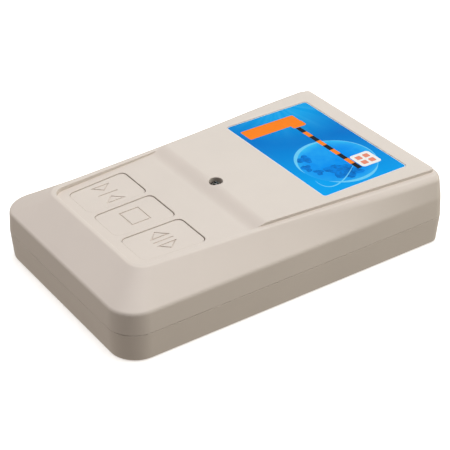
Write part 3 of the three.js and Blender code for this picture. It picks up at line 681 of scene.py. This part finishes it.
def shell_section(outer, recess, belt, aim, panel, inner):
    """The upper shell's cross-section at one place of its outline, from the seam to the top."""
    top = top_height(panel[1])
    low = Vector((*belt, BELT_Z))
    high = Vector((*aim, RIM_Z + RIM_AIM_RISE))
    share = min(max(belt[1] / HALF_LENGTH, 0.0), 1.0)
    swollen = SWELL_RISE - SWELL * share * share * (3 - 2 * share)
    knee = Vector((*low.lerp(high, swollen).xy, low.z + (high.z - low.z) * SWELL_RISE))
    rim_edge = knee + (high - knee) * ((RIM_Z - knee.z) / (high.z - knee.z))
    corners = [
        Vector((*recess, SEAM_Z + LIP_HEIGHT + GAP)),
        Vector((*recess, SHELL_BOTTOM)),
        Vector((*outer, SHELL_BOTTOM)),
        low,
        knee,
        rim_edge,
        Vector((*panel, RIM_Z)),
        Vector((*panel, top)),
        Vector((*inner, top_height(inner[1]))),
    ]
    reaches = [LIP_EDGE, SEAM_EDGE, BELT_EDGE, SWELL_EDGE, RIM_EDGE, PANEL_EDGE, PANEL_EDGE]
    sunk = min(max((RIM_Z - top) / FULL_STEP, -1.0), 1.0)
    wear_and_shade = [0.0, 0.0, 0.7, 0.12, 0.1, 0.8, sunk, -sunk]    # by corner: rubbed where positive, painted shade where negative
    return [(point, wear_and_shade[corner or 0]) for point, corner in fillet(corners, reaches)]


def key_edges(side, y):
    inner = MIDDLE_KEY_SHARE * panel_half(y)
    if side == 0:
        return -inner, inner
    near, far = inner + KEY_WEB, panel_half(y) - KEY_MARGIN
    return (near, far) if side > 0 else (-far, -near)


def key_outline(side, grow):
    """Outline of a key's plan in the deck's own plane."""
    corners = []
    for y, ends in ((KEY_NEAR_Y, (0, 1)), (KEY_FAR_Y, (1, 0))):
        corners.extend((key_edges(side, y)[end], y) for end in ends)
    return grown(rounded_polygon(corners, KEY_CORNER), grow)


def on_deck(points):
    """Deck-plane outline to plan outline."""
    return [(x, KEY_Y + (y - KEY_Y) * math.cos(DECK_TILT)) for x, y in points]


def label_outline(grow):
    sides = (LABEL_LOW.x, LABEL_HIGH.x, LABEL_LOW.y, LABEL_HIGH.y)
    return grown(rounded_box(*sides, LABEL_CORNER), grow)


def upper_skin():
    skin = Skin()
    lines = [case_outline(0), case_outline(WALL - LIP - GAP), case_outline(BELT_INSET)]
    lines += [panel_outline(RIM_AIM, NEAR_RIM_AIM), panel_outline(0), panel_outline(-PANEL_BORDER)]
    rings = [list(ring) for ring in zip(*(shell_section(*places) for places in zip(*lines)))]
    skin.rings(rings)
    surface = lambda x, y: top_height(y)
    outer = [(point.x, point.y) for point, _ in rings[-1]]
    dips = [(on_deck(key_outline(side, KEY_GAP)), KEY_HOLE_EDGE, PLATE) for side in KEYS.values()]
    light_hole = circle(0, LIGHT_Y, LIGHT_HOLE_RADIUS, 56)
    dips.append((light_hole, LIGHT_HOLE_EDGE, LIGHT_HOLE_DEPTH))
    label = label_outline(GAP)
    holes = [grown(hole, edge) for hole, edge, _ in dips] + [grown(label, LABEL_EDGE)]
    across = []
    for y in STATIONS:
        if RAMP_FOOT_Y - 4 * RAMP_STEP < y < RAMP_TOP_Y + 2 * RAMP_STEP:
            reach = panel_half(y) - PANEL_BORDER * SLANT
            across.append([(-reach, y), (reach, y)])
    skin.plane(outer, holes, surface, across)
    for hole, edge, depth in dips:
        skin.dip(hole, surface, edge, depth)
    skin.dip(label, surface, LABEL_EDGE, PANEL_Z - LABEL_LOW.z + GAP, floor=True)
    piece = skin.build("upper_shell_skin", [case_plastic], up=True)
    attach(piece, "case")
    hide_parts("upper_shell")


upper_skin()


# ---- lower shell and door ----
SCREWS = [limits(f"case_screw_{i}") for i in (1, 2, 3, 4)]
SCREW_PLACES = [((low.x + high.x) / 2, (low.y + high.y) / 2) for low, high in SCREWS]
SCREW_WAY = 1.8               # radius of the way through each screw column
COLUMN_RADIUS = 4.0
SOCKET = {"radius": 3.2, "depth": 4.5, "way_top": 14.0}
SOCKET_EDGE = [(3.6, -PAST), (3.6, -0.01), (3.35, 0.08), (3.2, 0.35)]
BAY = {"half": 13.9, "near": 9.1, "far": 60.7, "roof": 20.9, "wall": 1.4, "foot": 5.0}
BAY_OUTER = BAY["half"] + BAY["wall"]
BAY_START, BAY_STOP = BAY["near"] - BAY["wall"], BAY["far"] + BAY["wall"]
BAY_TOP_IN_SHELL = 14.0       # the bay's walls stand in the hollow up to here
RAILS = {"half": 17.2, "top": 4.4}
HOLLOW_TOP = SEAM_Z + 5
CHANNEL_FLARE = 0.2


def lower_body(name):
    """The outer form of the lower half, closed top and bottom."""
    skin = Skin()
    foot = BASE_INSET + BASE_EDGE * 0.8 + 2
    lines = [case_outline(foot), case_outline(BASE_INSET), case_outline(0), case_outline(WALL)]
    heights = [0.0, 0.0, SHELL_TOP, SHELL_TOP]
    sections = []
    for places in zip(*lines):
        corners = [Vector((*place, z)) for place, z in zip(places, heights)]
        ring = fillet(corners, [BASE_EDGE, SEAM_EDGE])
        sections.append([(point, 0.5 if corner else 0.0) for point, corner in ring])
    skin.closed([list(ring) for ring in zip(*sections)])
    return skin.build(name, [case_plastic], solid=True)


def prism(name, points, z0, z1):
    skin = Skin()
    skin.closed([level(points, z) for z in (z0, z1)])
    return skin.build(name, [], solid=True)


def shell_hollow():
    """The room inside the lower half, without the bay's walls, the rails and the screw columns."""
    hollow = prism("hollow", case_outline(WALL + BASE_INSET, at=()), WALL, HOLLOW_TOP)
    low, high = (-BAY_OUTER, BAY_START, -PAST), (BAY_OUTER, BAY_STOP, BAY_TOP_IN_SHELL)
    carve(hollow, block("keep", low, high))
    low, high = (-RAILS["half"], BAY_START, -PAST), (RAILS["half"], HALF_LENGTH, RAILS["top"])
    carve(hollow, block("keep", low, high))
    for x, y in SCREW_PLACES:
        column = [(COLUMN_RADIUS, -PAST), (COLUMN_RADIUS, SHELL_TOP)]
        carve(hollow, turned("keep", x, y, column, solid=True))
    return hollow


def carve_bay(piece):
    """The battery bay's walls and room, and the channel and slots that its door slides in."""
    top = BAY["roof"] + BAY["wall"]
    low, high = (-BAY_OUTER, BAY_START, BAY["foot"]), (BAY_OUTER, BAY_STOP, top)
    carve(piece, block("walls", low, high), "UNION")
    low, high = (-BAY["half"], BAY["near"], -PAST), (BAY["half"], BAY["far"], BAY["roof"])
    carve(piece, block("bay", low, high))
    end, roof = HALF_LENGTH + PAST, DOOR_HIGH.z + GAP
    low, high = (-DOOR_HALF - GAP, BAY["near"], -PAST), (DOOR_HALF + GAP, end, roof)
    carve(piece, block("channel", low, high, CHANNEL_FLARE))
    tongue = DOOR_HIGH.x + GAP
    low, high = (-tongue, BAY["near"], TONGUE_Z - GAP), (tongue, end, roof)
    carve(piece, block("slot", low, high))


def lower_skin():
    piece = lower_body("lower_shell_skin")
    lip = prism("lip", case_outline(WALL - LIP, at=()), SHELL_TOP - PAST, SEAM_Z + LIP_HEIGHT)
    carve(piece, lip, "UNION")
    carve(piece, shell_hollow())
    carve_bay(piece)
    wide, way = SOCKET["radius"], SCREW_WAY
    steps = [(wide, SOCKET["depth"]), (way, SOCKET["depth"]), (way, SOCKET["way_top"])]
    for x, y in SCREW_PLACES:
        carve(piece, turned("sink", x, y, SOCKET_EDGE + steps, solid=True))
    shade_by_angle(piece)
    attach(piece, "case")
    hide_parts("lower_shell")


def shade_by_angle(piece):
    """Smooth shading that breaks at sharp edges, on a piece whose shape is done."""
    bm = bmesh.new()
    bm.from_mesh(piece.data)
    for edge in bm.edges:
        edge.smooth = not (len(edge.link_faces) == 2 and edge.calc_face_angle(0.0) > SHARP)
    for face in bm.faces:
        face.smooth = True
    bm.to_mesh(piece.data)
    bm.free()
    if not piece.data.materials:
        piece.data.materials.append(case_plastic)
    even_normals(piece)


def grip_groove(y, surface):
    """A tool for one groove of the door's grip: its mouth flares and its floor narrows."""
    width = GRIP["width"]
    shape = rounded_box(-GRIP["half"], GRIP["half"], y, y + width, width * 0.45)
    flare, shoulder, narrowing = 0.25, 0.2, -0.12
    levels = [(-PAST, flare), (surface, flare), (surface + shoulder, 0.0)]
    levels.append((surface + GRIP["depth"], narrowing))
    skin = Skin()
    skin.closed([level(grown(shape, grow), z) for z, grow in levels])
    return skin.build("groove", [], solid=True)


def door_skin():
    """The sliding door: its end follows the case's rounded bottom edge."""
    low, high = DOOR_LOW, DOOR_HIGH
    end = HALF_LENGTH + PAST
    piece = block("battery_door_skin", (-DOOR_HALF, low.y, low.z), (DOOR_HALF, end, high.z))
    tongue = block("tongue", (low.x, low.y, TONGUE_Z + GAP), (high.x, end, high.z))
    carve(piece, tongue, "UNION")
    carve(piece, lower_body("form"), "INTERSECT")
    for i in range(GRIP["count"]):
        carve(piece, grip_groove(HALF_LENGTH - GRIP["from_end"] + i * GRIP["pitch"], low.z))
    bevel = piece.modifiers.new("edges", "BEVEL")
    bevel.width = DOOR_EDGE * MM
    bevel.segments = 2
    bevel.limit_method = "ANGLE"
    bevel.angle_limit = math.radians(50)
    shade_by_angle(baked(piece))
    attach(piece, "door")
    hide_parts("battery_door")


lower_skin()
door_skin()


# ---- keys ----
KEY_EDGE_STEPS = 4


def ring_shape(points):
    """An engraved line along the inside of a closed shape."""
    return points, grown(points, -ICON_LINE)


def icon_lines(side):
    """The shapes of a key's sign, each an outline and its inner outline, which a bar lacks."""
    top, bottom = KEY_Y + ICON_HALF_HEIGHT, KEY_Y - ICON_HALF_HEIGHT
    if side == 0:
        half = SQUARE_HALF_WIDTH
        return [ring_shape([(-half, bottom), (half, bottom), (half, top), (-half, top)])]
    x = side * KEY_X
    half = ICON_LINE / 2
    shapes = [([(x - half, bottom), (x + half, bottom), (x + half, top), (x - half, top)], None)]
    base, tip = (ARROW_NEAR, ARROW_FAR) if side > 0 else (ARROW_FAR, ARROW_NEAR)
    for hand in (-1, 1):
        arrow = [(x + hand * base, bottom), (x + hand * tip, KEY_Y), (x + hand * base, top)]
        if hand * side < 0:
            arrow.reverse()
        shapes.append(ring_shape(arrow))
    return shapes


def key_cap(name, side):
    """A key, built flat and then tilted to the deck, on its upright post."""
    skin = Skin()
    flange_top = -PLATE - GAP
    flange_low = flange_top - FLANGE_THICKNESS
    flat = lambda x, y: -KEY_SUNK
    wall = [(x + KEY_REST[0], y + KEY_REST[1]) for x, y in key_outline(side, 0)]
    rings = []
    for i in range(KEY_EDGE_STEPS + 1):
        angle = math.pi / 2 * (KEY_EDGE_STEPS - i) / KEY_EDGE_STEPS
        out, drop = -KEY_EDGE * (1 - math.cos(angle)), -KEY_EDGE * (1 - math.sin(angle))
        worn_and_shaded = 0.7 if 0 < i < KEY_EDGE_STEPS else 0.0
        rings.append(level(grown(wall, out), -KEY_SUNK + drop, worn_and_shaded))
    # The flange's top, under the deck, takes -1: painted shade.
    for out, z, worn_and_shaded in ((0, flange_top, -1.0), (FLANGE, flange_top, 0.0), (FLANGE, flange_low, 0.0)):
        rings.append(level(grown(wall, out), z, worn_and_shaded))
    rows = skin.rings(rings)
    skin.face(rows[-1])
    top = [(point[0], point[1]) for point, _ in rings[0]]
    sign = icon_lines(side)
    skin.plane(top, [grown(shape, ICON_EDGE) for shape, _ in sign], flat)
    for shape, inner in sign:
        groove(skin, shape, inner, flat)
    tilt = Matrix.Translation((0, KEY_Y * MM, deck_height(KEY_Y) * MM))
    tilt @= Matrix.Rotation(DECK_TILT, 4, "X") @ Matrix.Translation((0, -KEY_Y * MM, 0))
    skin.move(tilt)
    post_top = deck_height(KEY_Y) - PLATE - FLANGE_THICKNESS
    post = circle(side * KEY_X, KEY_Y, POST_RADIUS, 32)
    skin.face(skin.rings([level(post, POST_FOOT_Z), level(post, post_top)])[0])
    piece = skin.build(f"key_{name}_cap", [case_plastic])
    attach(piece, f"{name}_key")
    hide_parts(f"key_{name}")


def groove(skin, shape, inner, height):
    """An engraved line: rounded shoulders, walls, a floor, and the island that it runs round."""
    def shoulder(line, sign):
        rings = []
        for i in range(3):
            angle = math.pi / 2 * i / 2
            out = sign * ICON_EDGE * (1 - math.sin(angle))
            drop = ICON_EDGE * (1 - math.cos(angle))
            rings.append([((x, y, height(x, y) - drop), 0.3) for x, y in grown(line, out)])
        # The groove's foot takes -1: painted shade inside the engraved line.
        rings.append([((x, y, height(x, y) - ICON_DEPTH), -1.0) for x, y in line])
        skin.rings(rings)

    shoulder(shape, 1)
    floor = lambda x, y: height(x, y) - ICON_DEPTH
    skin.plane(shape, [inner] if inner else [], floor)
    if inner:
        shoulder(inner, -1)
        skin.plane(grown(inner, -ICON_EDGE), [], height)


for key_name, key_side in KEYS.items():
    key_cap(key_name, key_side)


# ---- status light ----
LENS_RADIUS = 2.42
LENS_FOOT_Z = 19.0
LENS_COLLAR = (2.75, 1.0)     # radius and height of the collar at the lens's foot
CUP = {"radius": 0.95, "mouth": 0.75, "floor": 0.4, "depth": 0.7, "height": 1.2, "hole": 0.2}
LEG_X = 1.27
LEG_HALF = 0.25


def light_lens():
    """A round-topped lens with its reflector cup inside and two legs below."""
    radius, shoulder = LENS_RADIUS, LIGHT_HIGH.z - LENS_RADIUS
    collar, collar_top = LENS_COLLAR[0], LENS_FOOT_Z + LENS_COLLAR[1]
    profile = [(0, LENS_FOOT_Z), (collar, LENS_FOOT_Z), (collar, collar_top)]
    profile += [(radius, collar_top), (radius, shoulder)]
    for i in range(1, 11):
        angle = math.pi / 2 * i / 10
        profile.append((radius * math.cos(angle), shoulder + radius * math.sin(angle)))
    piece = turned("led_lens", 0, LIGHT_Y, profile, [SLOT_MATERIALS["led_resin"]])
    bowl, foot = shoulder - CUP["depth"], shoulder - CUP["height"]
    cup = [(CUP["hole"], bowl), (CUP["floor"], bowl), (CUP["mouth"], shoulder)]
    cup += [(CUP["radius"], shoulder), (CUP["radius"], foot), (CUP["hole"], foot)]
    inner = turned("led_cup", 0, LIGHT_Y, cup, [SLOT_MATERIALS["can_metal"]])
    for side in (-1, 1):
        x = side * LEG_X
        low = (x - LEG_HALF, LIGHT_Y - LEG_HALF, LIGHT_LOW.z)
        high = (x + LEG_HALF, LIGHT_Y + LEG_HALF, LENS_FOOT_Z)
        leg = block(f"led_leg_{side + 2}", low, high)
        leg.data.materials.append(SLOT_MATERIALS["can_metal"])
        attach(leg, "case")
    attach(piece, "case")
    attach(inner, "case")
    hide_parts("status_led")


light_lens()


# ---- label ----
INK = {"sky": 0, "globe": 1, "land": 2, "glow": 3, "orange": 4, "black": 5, "white": 6, "red": 7}
GLOBE = (13.2, 42.2, 15.4)    # middle and radius
RAYS_FROM = (-37.0, 50.0)


def ink_material(name, colour, spread=0.06):
    n = Nodes(name)
    dark, light = shaded(colour, 1 - spread), shaded(colour, 1 + spread)
    shade = n.mix(n.noise(240, 4.0), dark, light)
    film(n)
    return n.set(Base_Color=shade)


def film(n):
    """Clear polyester over the print: satin, with a faint orange-peel."""
    n.bump(n.noise(700, 2.0), 0.04, 0.0001)
    n.set(Roughness=n.ramp(n.noise(150, 3.0), 0.3, 0.7, 0.42, 0.54), Specular_IOR_Level=0.03)


def sky_shade(n):
    """Blue that lightens towards the right, with a glow and soft rays from past the left edge."""
    x, y, _ = n.axes()
    slide = n.math("SUBTRACT", x, n.math("MULTIPLY", y, 0.4))
    share = n.ramp(slide, -0.026, 0.01)
    base = n.mix(share, srgb(0, 118, 206), srgb(0, 164, 246))
    source_x, source_y = (value * MM for value in RAYS_FROM)
    dx, dy = n.math("SUBTRACT", x, source_x), n.math("SUBTRACT", source_y, y)
    angle = n.math("ARCTAN2", dx, dy)
    vector = n.add("ShaderNodeCombineXYZ", X=n.math("MULTIPLY", angle, 5.0)).outputs[0]
    streaks = n.add("ShaderNodeTexNoise", Vector=vector, Scale=1.0, Detail=1.0).outputs[0]
    far = n.math("SQRT", n.math("ADD", n.math("MULTIPLY", dx, dx), n.math("MULTIPLY", dy, dy)))
    base = n.mix(n.ramp(far, 0.012, 0.034, 0.85, 0.0), base, srgb(0, 168, 242))
    fade = n.ramp(far, 0.006, 0.03, 0.55, 0.0)
    rays = n.math("MULTIPLY", n.ramp(streaks, 0.4, 0.72), fade)
    shade = n.mix(rays, base, srgb(70, 190, 244))
    return n.mix(n.math("MULTIPLY", n.noise(60, 4.0), 0.2), shade, srgb(0, 96, 190))


def sky_material():
    n = Nodes("print_sky")
    film(n)
    return n.set(Base_Color=sky_shade(n))


def globe_material():
    """Bright blue, with a pale glow inside the globe's edge and faint cloud."""
    n = Nodes("print_globe")
    film(n)
    flat = n.add("ShaderNodeVectorMath", {"operation": "MULTIPLY"})
    n.put(flat, "0", n.place())
    n.put(flat, "1", (1, 1, 0))
    away = n.add("ShaderNodeVectorMath", {"operation": "DISTANCE"})
    n.put(away, "0", flat.outputs[0])
    n.put(away, "1", (GLOBE[0] * MM, GLOBE[1] * MM, 0))
    rim = n.ramp(away.outputs["Value"], 0.45 * GLOBE[2] * MM, GLOBE[2] * MM)
    rim = n.math("POWER", rim, 2.4)
    lit = n.ramp(n.axes()[0], (GLOBE[0] - GLOBE[2]) * MM, GLOBE[0] * MM, 0.75, 0.25)
    cloud = n.ramp(n.noise(120, 4.0), 0.45, 0.75, 0.0, 0.3)
    glow = n.math("ADD", n.math("MULTIPLY", rim, lit), cloud, clamp=True)
    return n.set(Base_Color=n.mix(glow, srgb(0, 144, 242), srgb(64, 204, 250)))


def land_material():
    """Deep blue land with lighter patches, soft against the sea."""
    n = Nodes("print_land")
    film(n)
    patches = n.ramp(n.noise(420, 5.0, 0.65), 0.36, 0.6)
    return n.set(Base_Color=n.mix(patches, srgb(4, 98, 180), srgb(0, 132, 230)))


def ribbon(points, widths):
    """An outline of a band that follows points, with a width at each."""
    left, right = [], []
    for i, point in enumerate(points):
        before, after = Vector(points[max(i - 1, 0)]), Vector(points[min(i + 1, len(points) - 1)])
        side = (after - before).normalized().orthogonal() * widths[i] / 2
        left.append(tuple(Vector(point) + side))
        right.append(tuple(Vector(point) - side))
    return left + right[::-1]


def on_circle(cx, cy, radius, degrees):
    angle = math.radians(degrees)
    return cx + radius * math.cos(angle), cy + radius * math.sin(angle)


def arc_line(cx, cy, radius, start, stop, steps):
    turn = stop - start
    return [on_circle(cx, cy, radius, start + turn * i / steps) for i in range(steps + 1)]


def bent_line(start, first, second, stop, steps):
    """A cubic curve from start to stop, drawn towards the two points between."""
    a, b, c, d = (Vector(point) for point in (start, first, second, stop))
    shares = [i / steps for i in range(steps + 1)]
    return [
        tuple(a * (1 - t) ** 3 + b * 3 * t * (1 - t) ** 2 + c * 3 * t * t * (1 - t) + d * t**3)
        for t in shares
    ]


def tapered(count, most):
    """Widths that are greatest in the middle and thin out at both ends."""
    least = 0.15
    return [least + (most - least) * math.sin(math.pi * i / (count - 1)) for i in range(count)]


def blob(cx, cy, radius, seed, squeeze):
    """An island with an uneven shore."""
    points = []
    steps = 22
    for i in range(steps):
        angle = 2 * math.pi * i / steps
        uneven = 1 + 0.24 * math.sin(3 * angle + seed) + 0.16 * math.sin(5 * angle + 2.3 * seed)
        reach = radius * uneven
        points.append((cx + reach * math.cos(angle), cy + squeeze * reach * math.sin(angle)))
    return points


def label_picture():
    """The printed shapes in painting order, as (ink, outline) in plan millimetres."""
    gx, gy, radius = GLOBE
    shapes = [("globe", circle(gx, gy, radius, 72))]
    for angle, reach, size, seed, squeeze in (
        (232, 0.79, 2.6, 0.4, 1.1),
        (262, 0.83, 2.5, 1.9, 0.7),
        (286, 0.72, 2.0, 2.9, 0.8),
        (330, 0.47, 5.0, 2.6, 0.9),
        (356, 0.62, 3.4, 4.0, 1.2),
    ):
        place = on_circle(gx, gy, radius * reach, angle)
        shapes.append(("land", blob(*place, size, seed, squeeze)))
    for start, stop, width in ((150, 272, 1.5), (-48, 46, 1.5), (44, 158, 0.45)):
        shapes.append(("glow", ribbon(arc_line(gx, gy, radius, start, stop, 40), tapered(41, width))))
    orbit = bent_line((19.0, 45.5), (27.5, 35.0), (31.0, 25.5), (20.5, 26.6), 30)
    shapes.append(("glow", ribbon(orbit, tapered(31, 0.6))))
    shapes.append(("orange", rounded_box(-25.0, -17.9, 24.9, 49.9, 0.7)))
    shapes.append(("orange", rounded_box(-20.0, -15.7, 44.0, 50.2, 0.9)))
    arm_start, arm_end = Vector((-15.4, 45.6)), Vector((22.3, 46.1))
    count, width = 9, 2.05
    across = (arm_end - arm_start).normalized().orthogonal() * width / 2
    for i in range(count):
        a = arm_start.lerp(arm_end, i / count)
        b = arm_start.lerp(arm_end, (i + 1) / count)
        corners = [a + across, a - across, b - across, b + across]
        shapes.append(("black" if i % 2 == 0 else "orange", [tuple(p) for p in corners]))
    card_x, card_y, card, pitch, mark = 13.6, 47.5, 9.0, 3.6, 2.5
    shapes.append(("white", rounded_box(card_x, card_x + card, card_y, card_y + card, 1.3)))
    margin = (card - pitch - mark) / 2
    for column in (0, 1):
        for row in (0, 1):
            x, y = card_x + margin + column * pitch, card_y + margin + row * pitch
            shapes.append(("red", rounded_box(x, x + mark, y, y + mark, 0.4, 3)))
    return [(INK[ink], shape) for ink, shape in shapes]


def label_film():
    skin = Skin()
    wall = label_outline(LABEL_SPREAD)
    top = grown(wall, -FILM_EDGE)
    rings = [level(top, LABEL_HIGH.z), level(wall, LABEL_HIGH.z - FILM_EDGE)]
    rings.append(level(wall, LABEL_LOW.z))
    rows = skin.rings(rings, INK["white"])
    skin.face(rows[-1], INK["white"])
    printed = grown(wall, -FILM_BORDER)
    picture = [(INK["white"], top), (INK["sky"], printed)] + label_picture()
    skin.plane(top, [], lambda x, y: LABEL_HIGH.z, inks=picture)
    inks = [
        sky_material(),
        globe_material(),
        land_material(),
        ink_material("print_glow", srgb(106, 202, 247)),
        ink_material("print_orange", srgb(250, 132, 32)),
        ink_material("print_black", srgb(36, 36, 40)),
        ink_material("print_white", srgb(236, 238, 240), 0.03),
        ink_material("print_red", srgb(228, 140, 118)),
    ]
    piece = skin.build("label_print", inks, up=True)
    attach(piece, "case")
    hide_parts("label")


label_film()


# ---- the CAD pieces that stay ----
for node in frame["nodes"].values():
    if not node.hide_render:
        even_normals(node)


# ---- floor, light and camera ----
FLOOR_HALF = 2500.0
FLOOR_Z = -0.15
TABLE_GLOW = 0.5              # light from below the horizon
SKY_GLOW = 0.02               # and from above it
HORIZON = 0.05                # half the height over which one gives way to the other
WORLD_TINT = (1.0, 0.91, 0.79, 1.0)
CAMERA_PLACE = (0.3628, -0.2485, 0.2902)
CAMERA_DOWN = 32.65           # degrees below the horizon
CAMERA_TURN = 55.52           # degrees round the upright axis
CAMERA_LENS = 111.87          # on a sensor 36 wide


def floor():
    skin = Skin()
    half = FLOOR_HALF
    corners = [(-half, -half), (half, -half), (half, half), (-half, half)]
    skin.plane(corners, [], lambda x, y: FLOOR_Z)
    n = Nodes("pale_floor")
    shade = n.mix(n.noise(9, 3.0), srgb(247, 247, 247), srgb(252, 252, 252))
    n.bump(n.noise(700, 2.0), 0.02, 0.0002)
    n.set(Base_Color=shade, Roughness=0.8, Emission_Color=shade, Emission_Strength=0.5)
    piece = skin.build("floor", [n.material], up=True, solid=True)
    n.material.cycles.emission_sampling = "NONE"
    piece.visible_diffuse = False
    piece.visible_glossy = False
    piece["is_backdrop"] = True


def area_light(name, location, size, power, colour):
    """A square soft box that faces the object."""
    data = bpy.data.lights.new(name, "AREA")
    data.shape = "SQUARE"
    data.size = size
    data.energy = power
    data.color = colour
    lamp = bpy.data.objects.new(name, data)
    lamp.location = location
    lamp.rotation_euler = (-Vector(location)).to_track_quat("-Z", "Y").to_euler()
    bpy.context.scene.collection.objects.link(lamp)


def studio_world():
    """Soft warm light from below the horizon, as off a pale table, and hardly any from above."""
    world = bpy.data.worlds.new("studio")
    world.use_nodes = True
    tree = world.node_tree
    place = tree.nodes.new("ShaderNodeTexCoord")
    parts = tree.nodes.new("ShaderNodeSeparateXYZ")
    share = tree.nodes.new("ShaderNodeMapRange")
    share.inputs["From Min"].default_value = -HORIZON
    share.inputs["From Max"].default_value = HORIZON
    share.inputs["To Min"].default_value = TABLE_GLOW
    share.inputs["To Max"].default_value = SKY_GLOW
    back = tree.nodes["Background"]
    tree.links.new(place.outputs["Generated"], parts.inputs[0])
    tree.links.new(parts.outputs["Z"], share.inputs["Value"])
    tree.links.new(share.outputs[0], back.inputs["Strength"])
    back.inputs["Color"].default_value = WORLD_TINT
    bpy.context.scene.world = world


def camera():
    data = bpy.data.cameras.new("camera")
    data.sensor_width = 36
    data.lens = CAMERA_LENS
    data.clip_start = 0.01
    eye = bpy.data.objects.new("camera", data)
    eye.location = CAMERA_PLACE
    eye.rotation_euler = (math.radians(90 - CAMERA_DOWN), 0, math.radians(CAMERA_TURN))
    bpy.context.scene.collection.objects.link(eye)
    bpy.context.scene.camera = eye


floor()
area_light("overhead", (0.1, 0.1, 1.5), 1.3, 19.3, (1.0, 0.975, 0.96))
area_light("left_front", (-0.7, -0.5, 0.4), 0.6, 2.5, (1.0, 0.96, 0.9))
area_light("right_back", (0.55, 0.75, 0.4), 0.6, 3.8, (1.0, 1.0, 0.87))
area_light("back_left", (-0.6, 0.6, 0.5), 0.6, 1.5, (0.8, 1.0, 1.0))
studio_world()
camera()
bpy.context.scene.view_settings.view_transform = "Standard"


def plain(value):
    return [plain(part) for part in value] if hasattr(value, "__len__") else float(value)


{"cad": plain(cad_bounds), "visual": plain(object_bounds())}
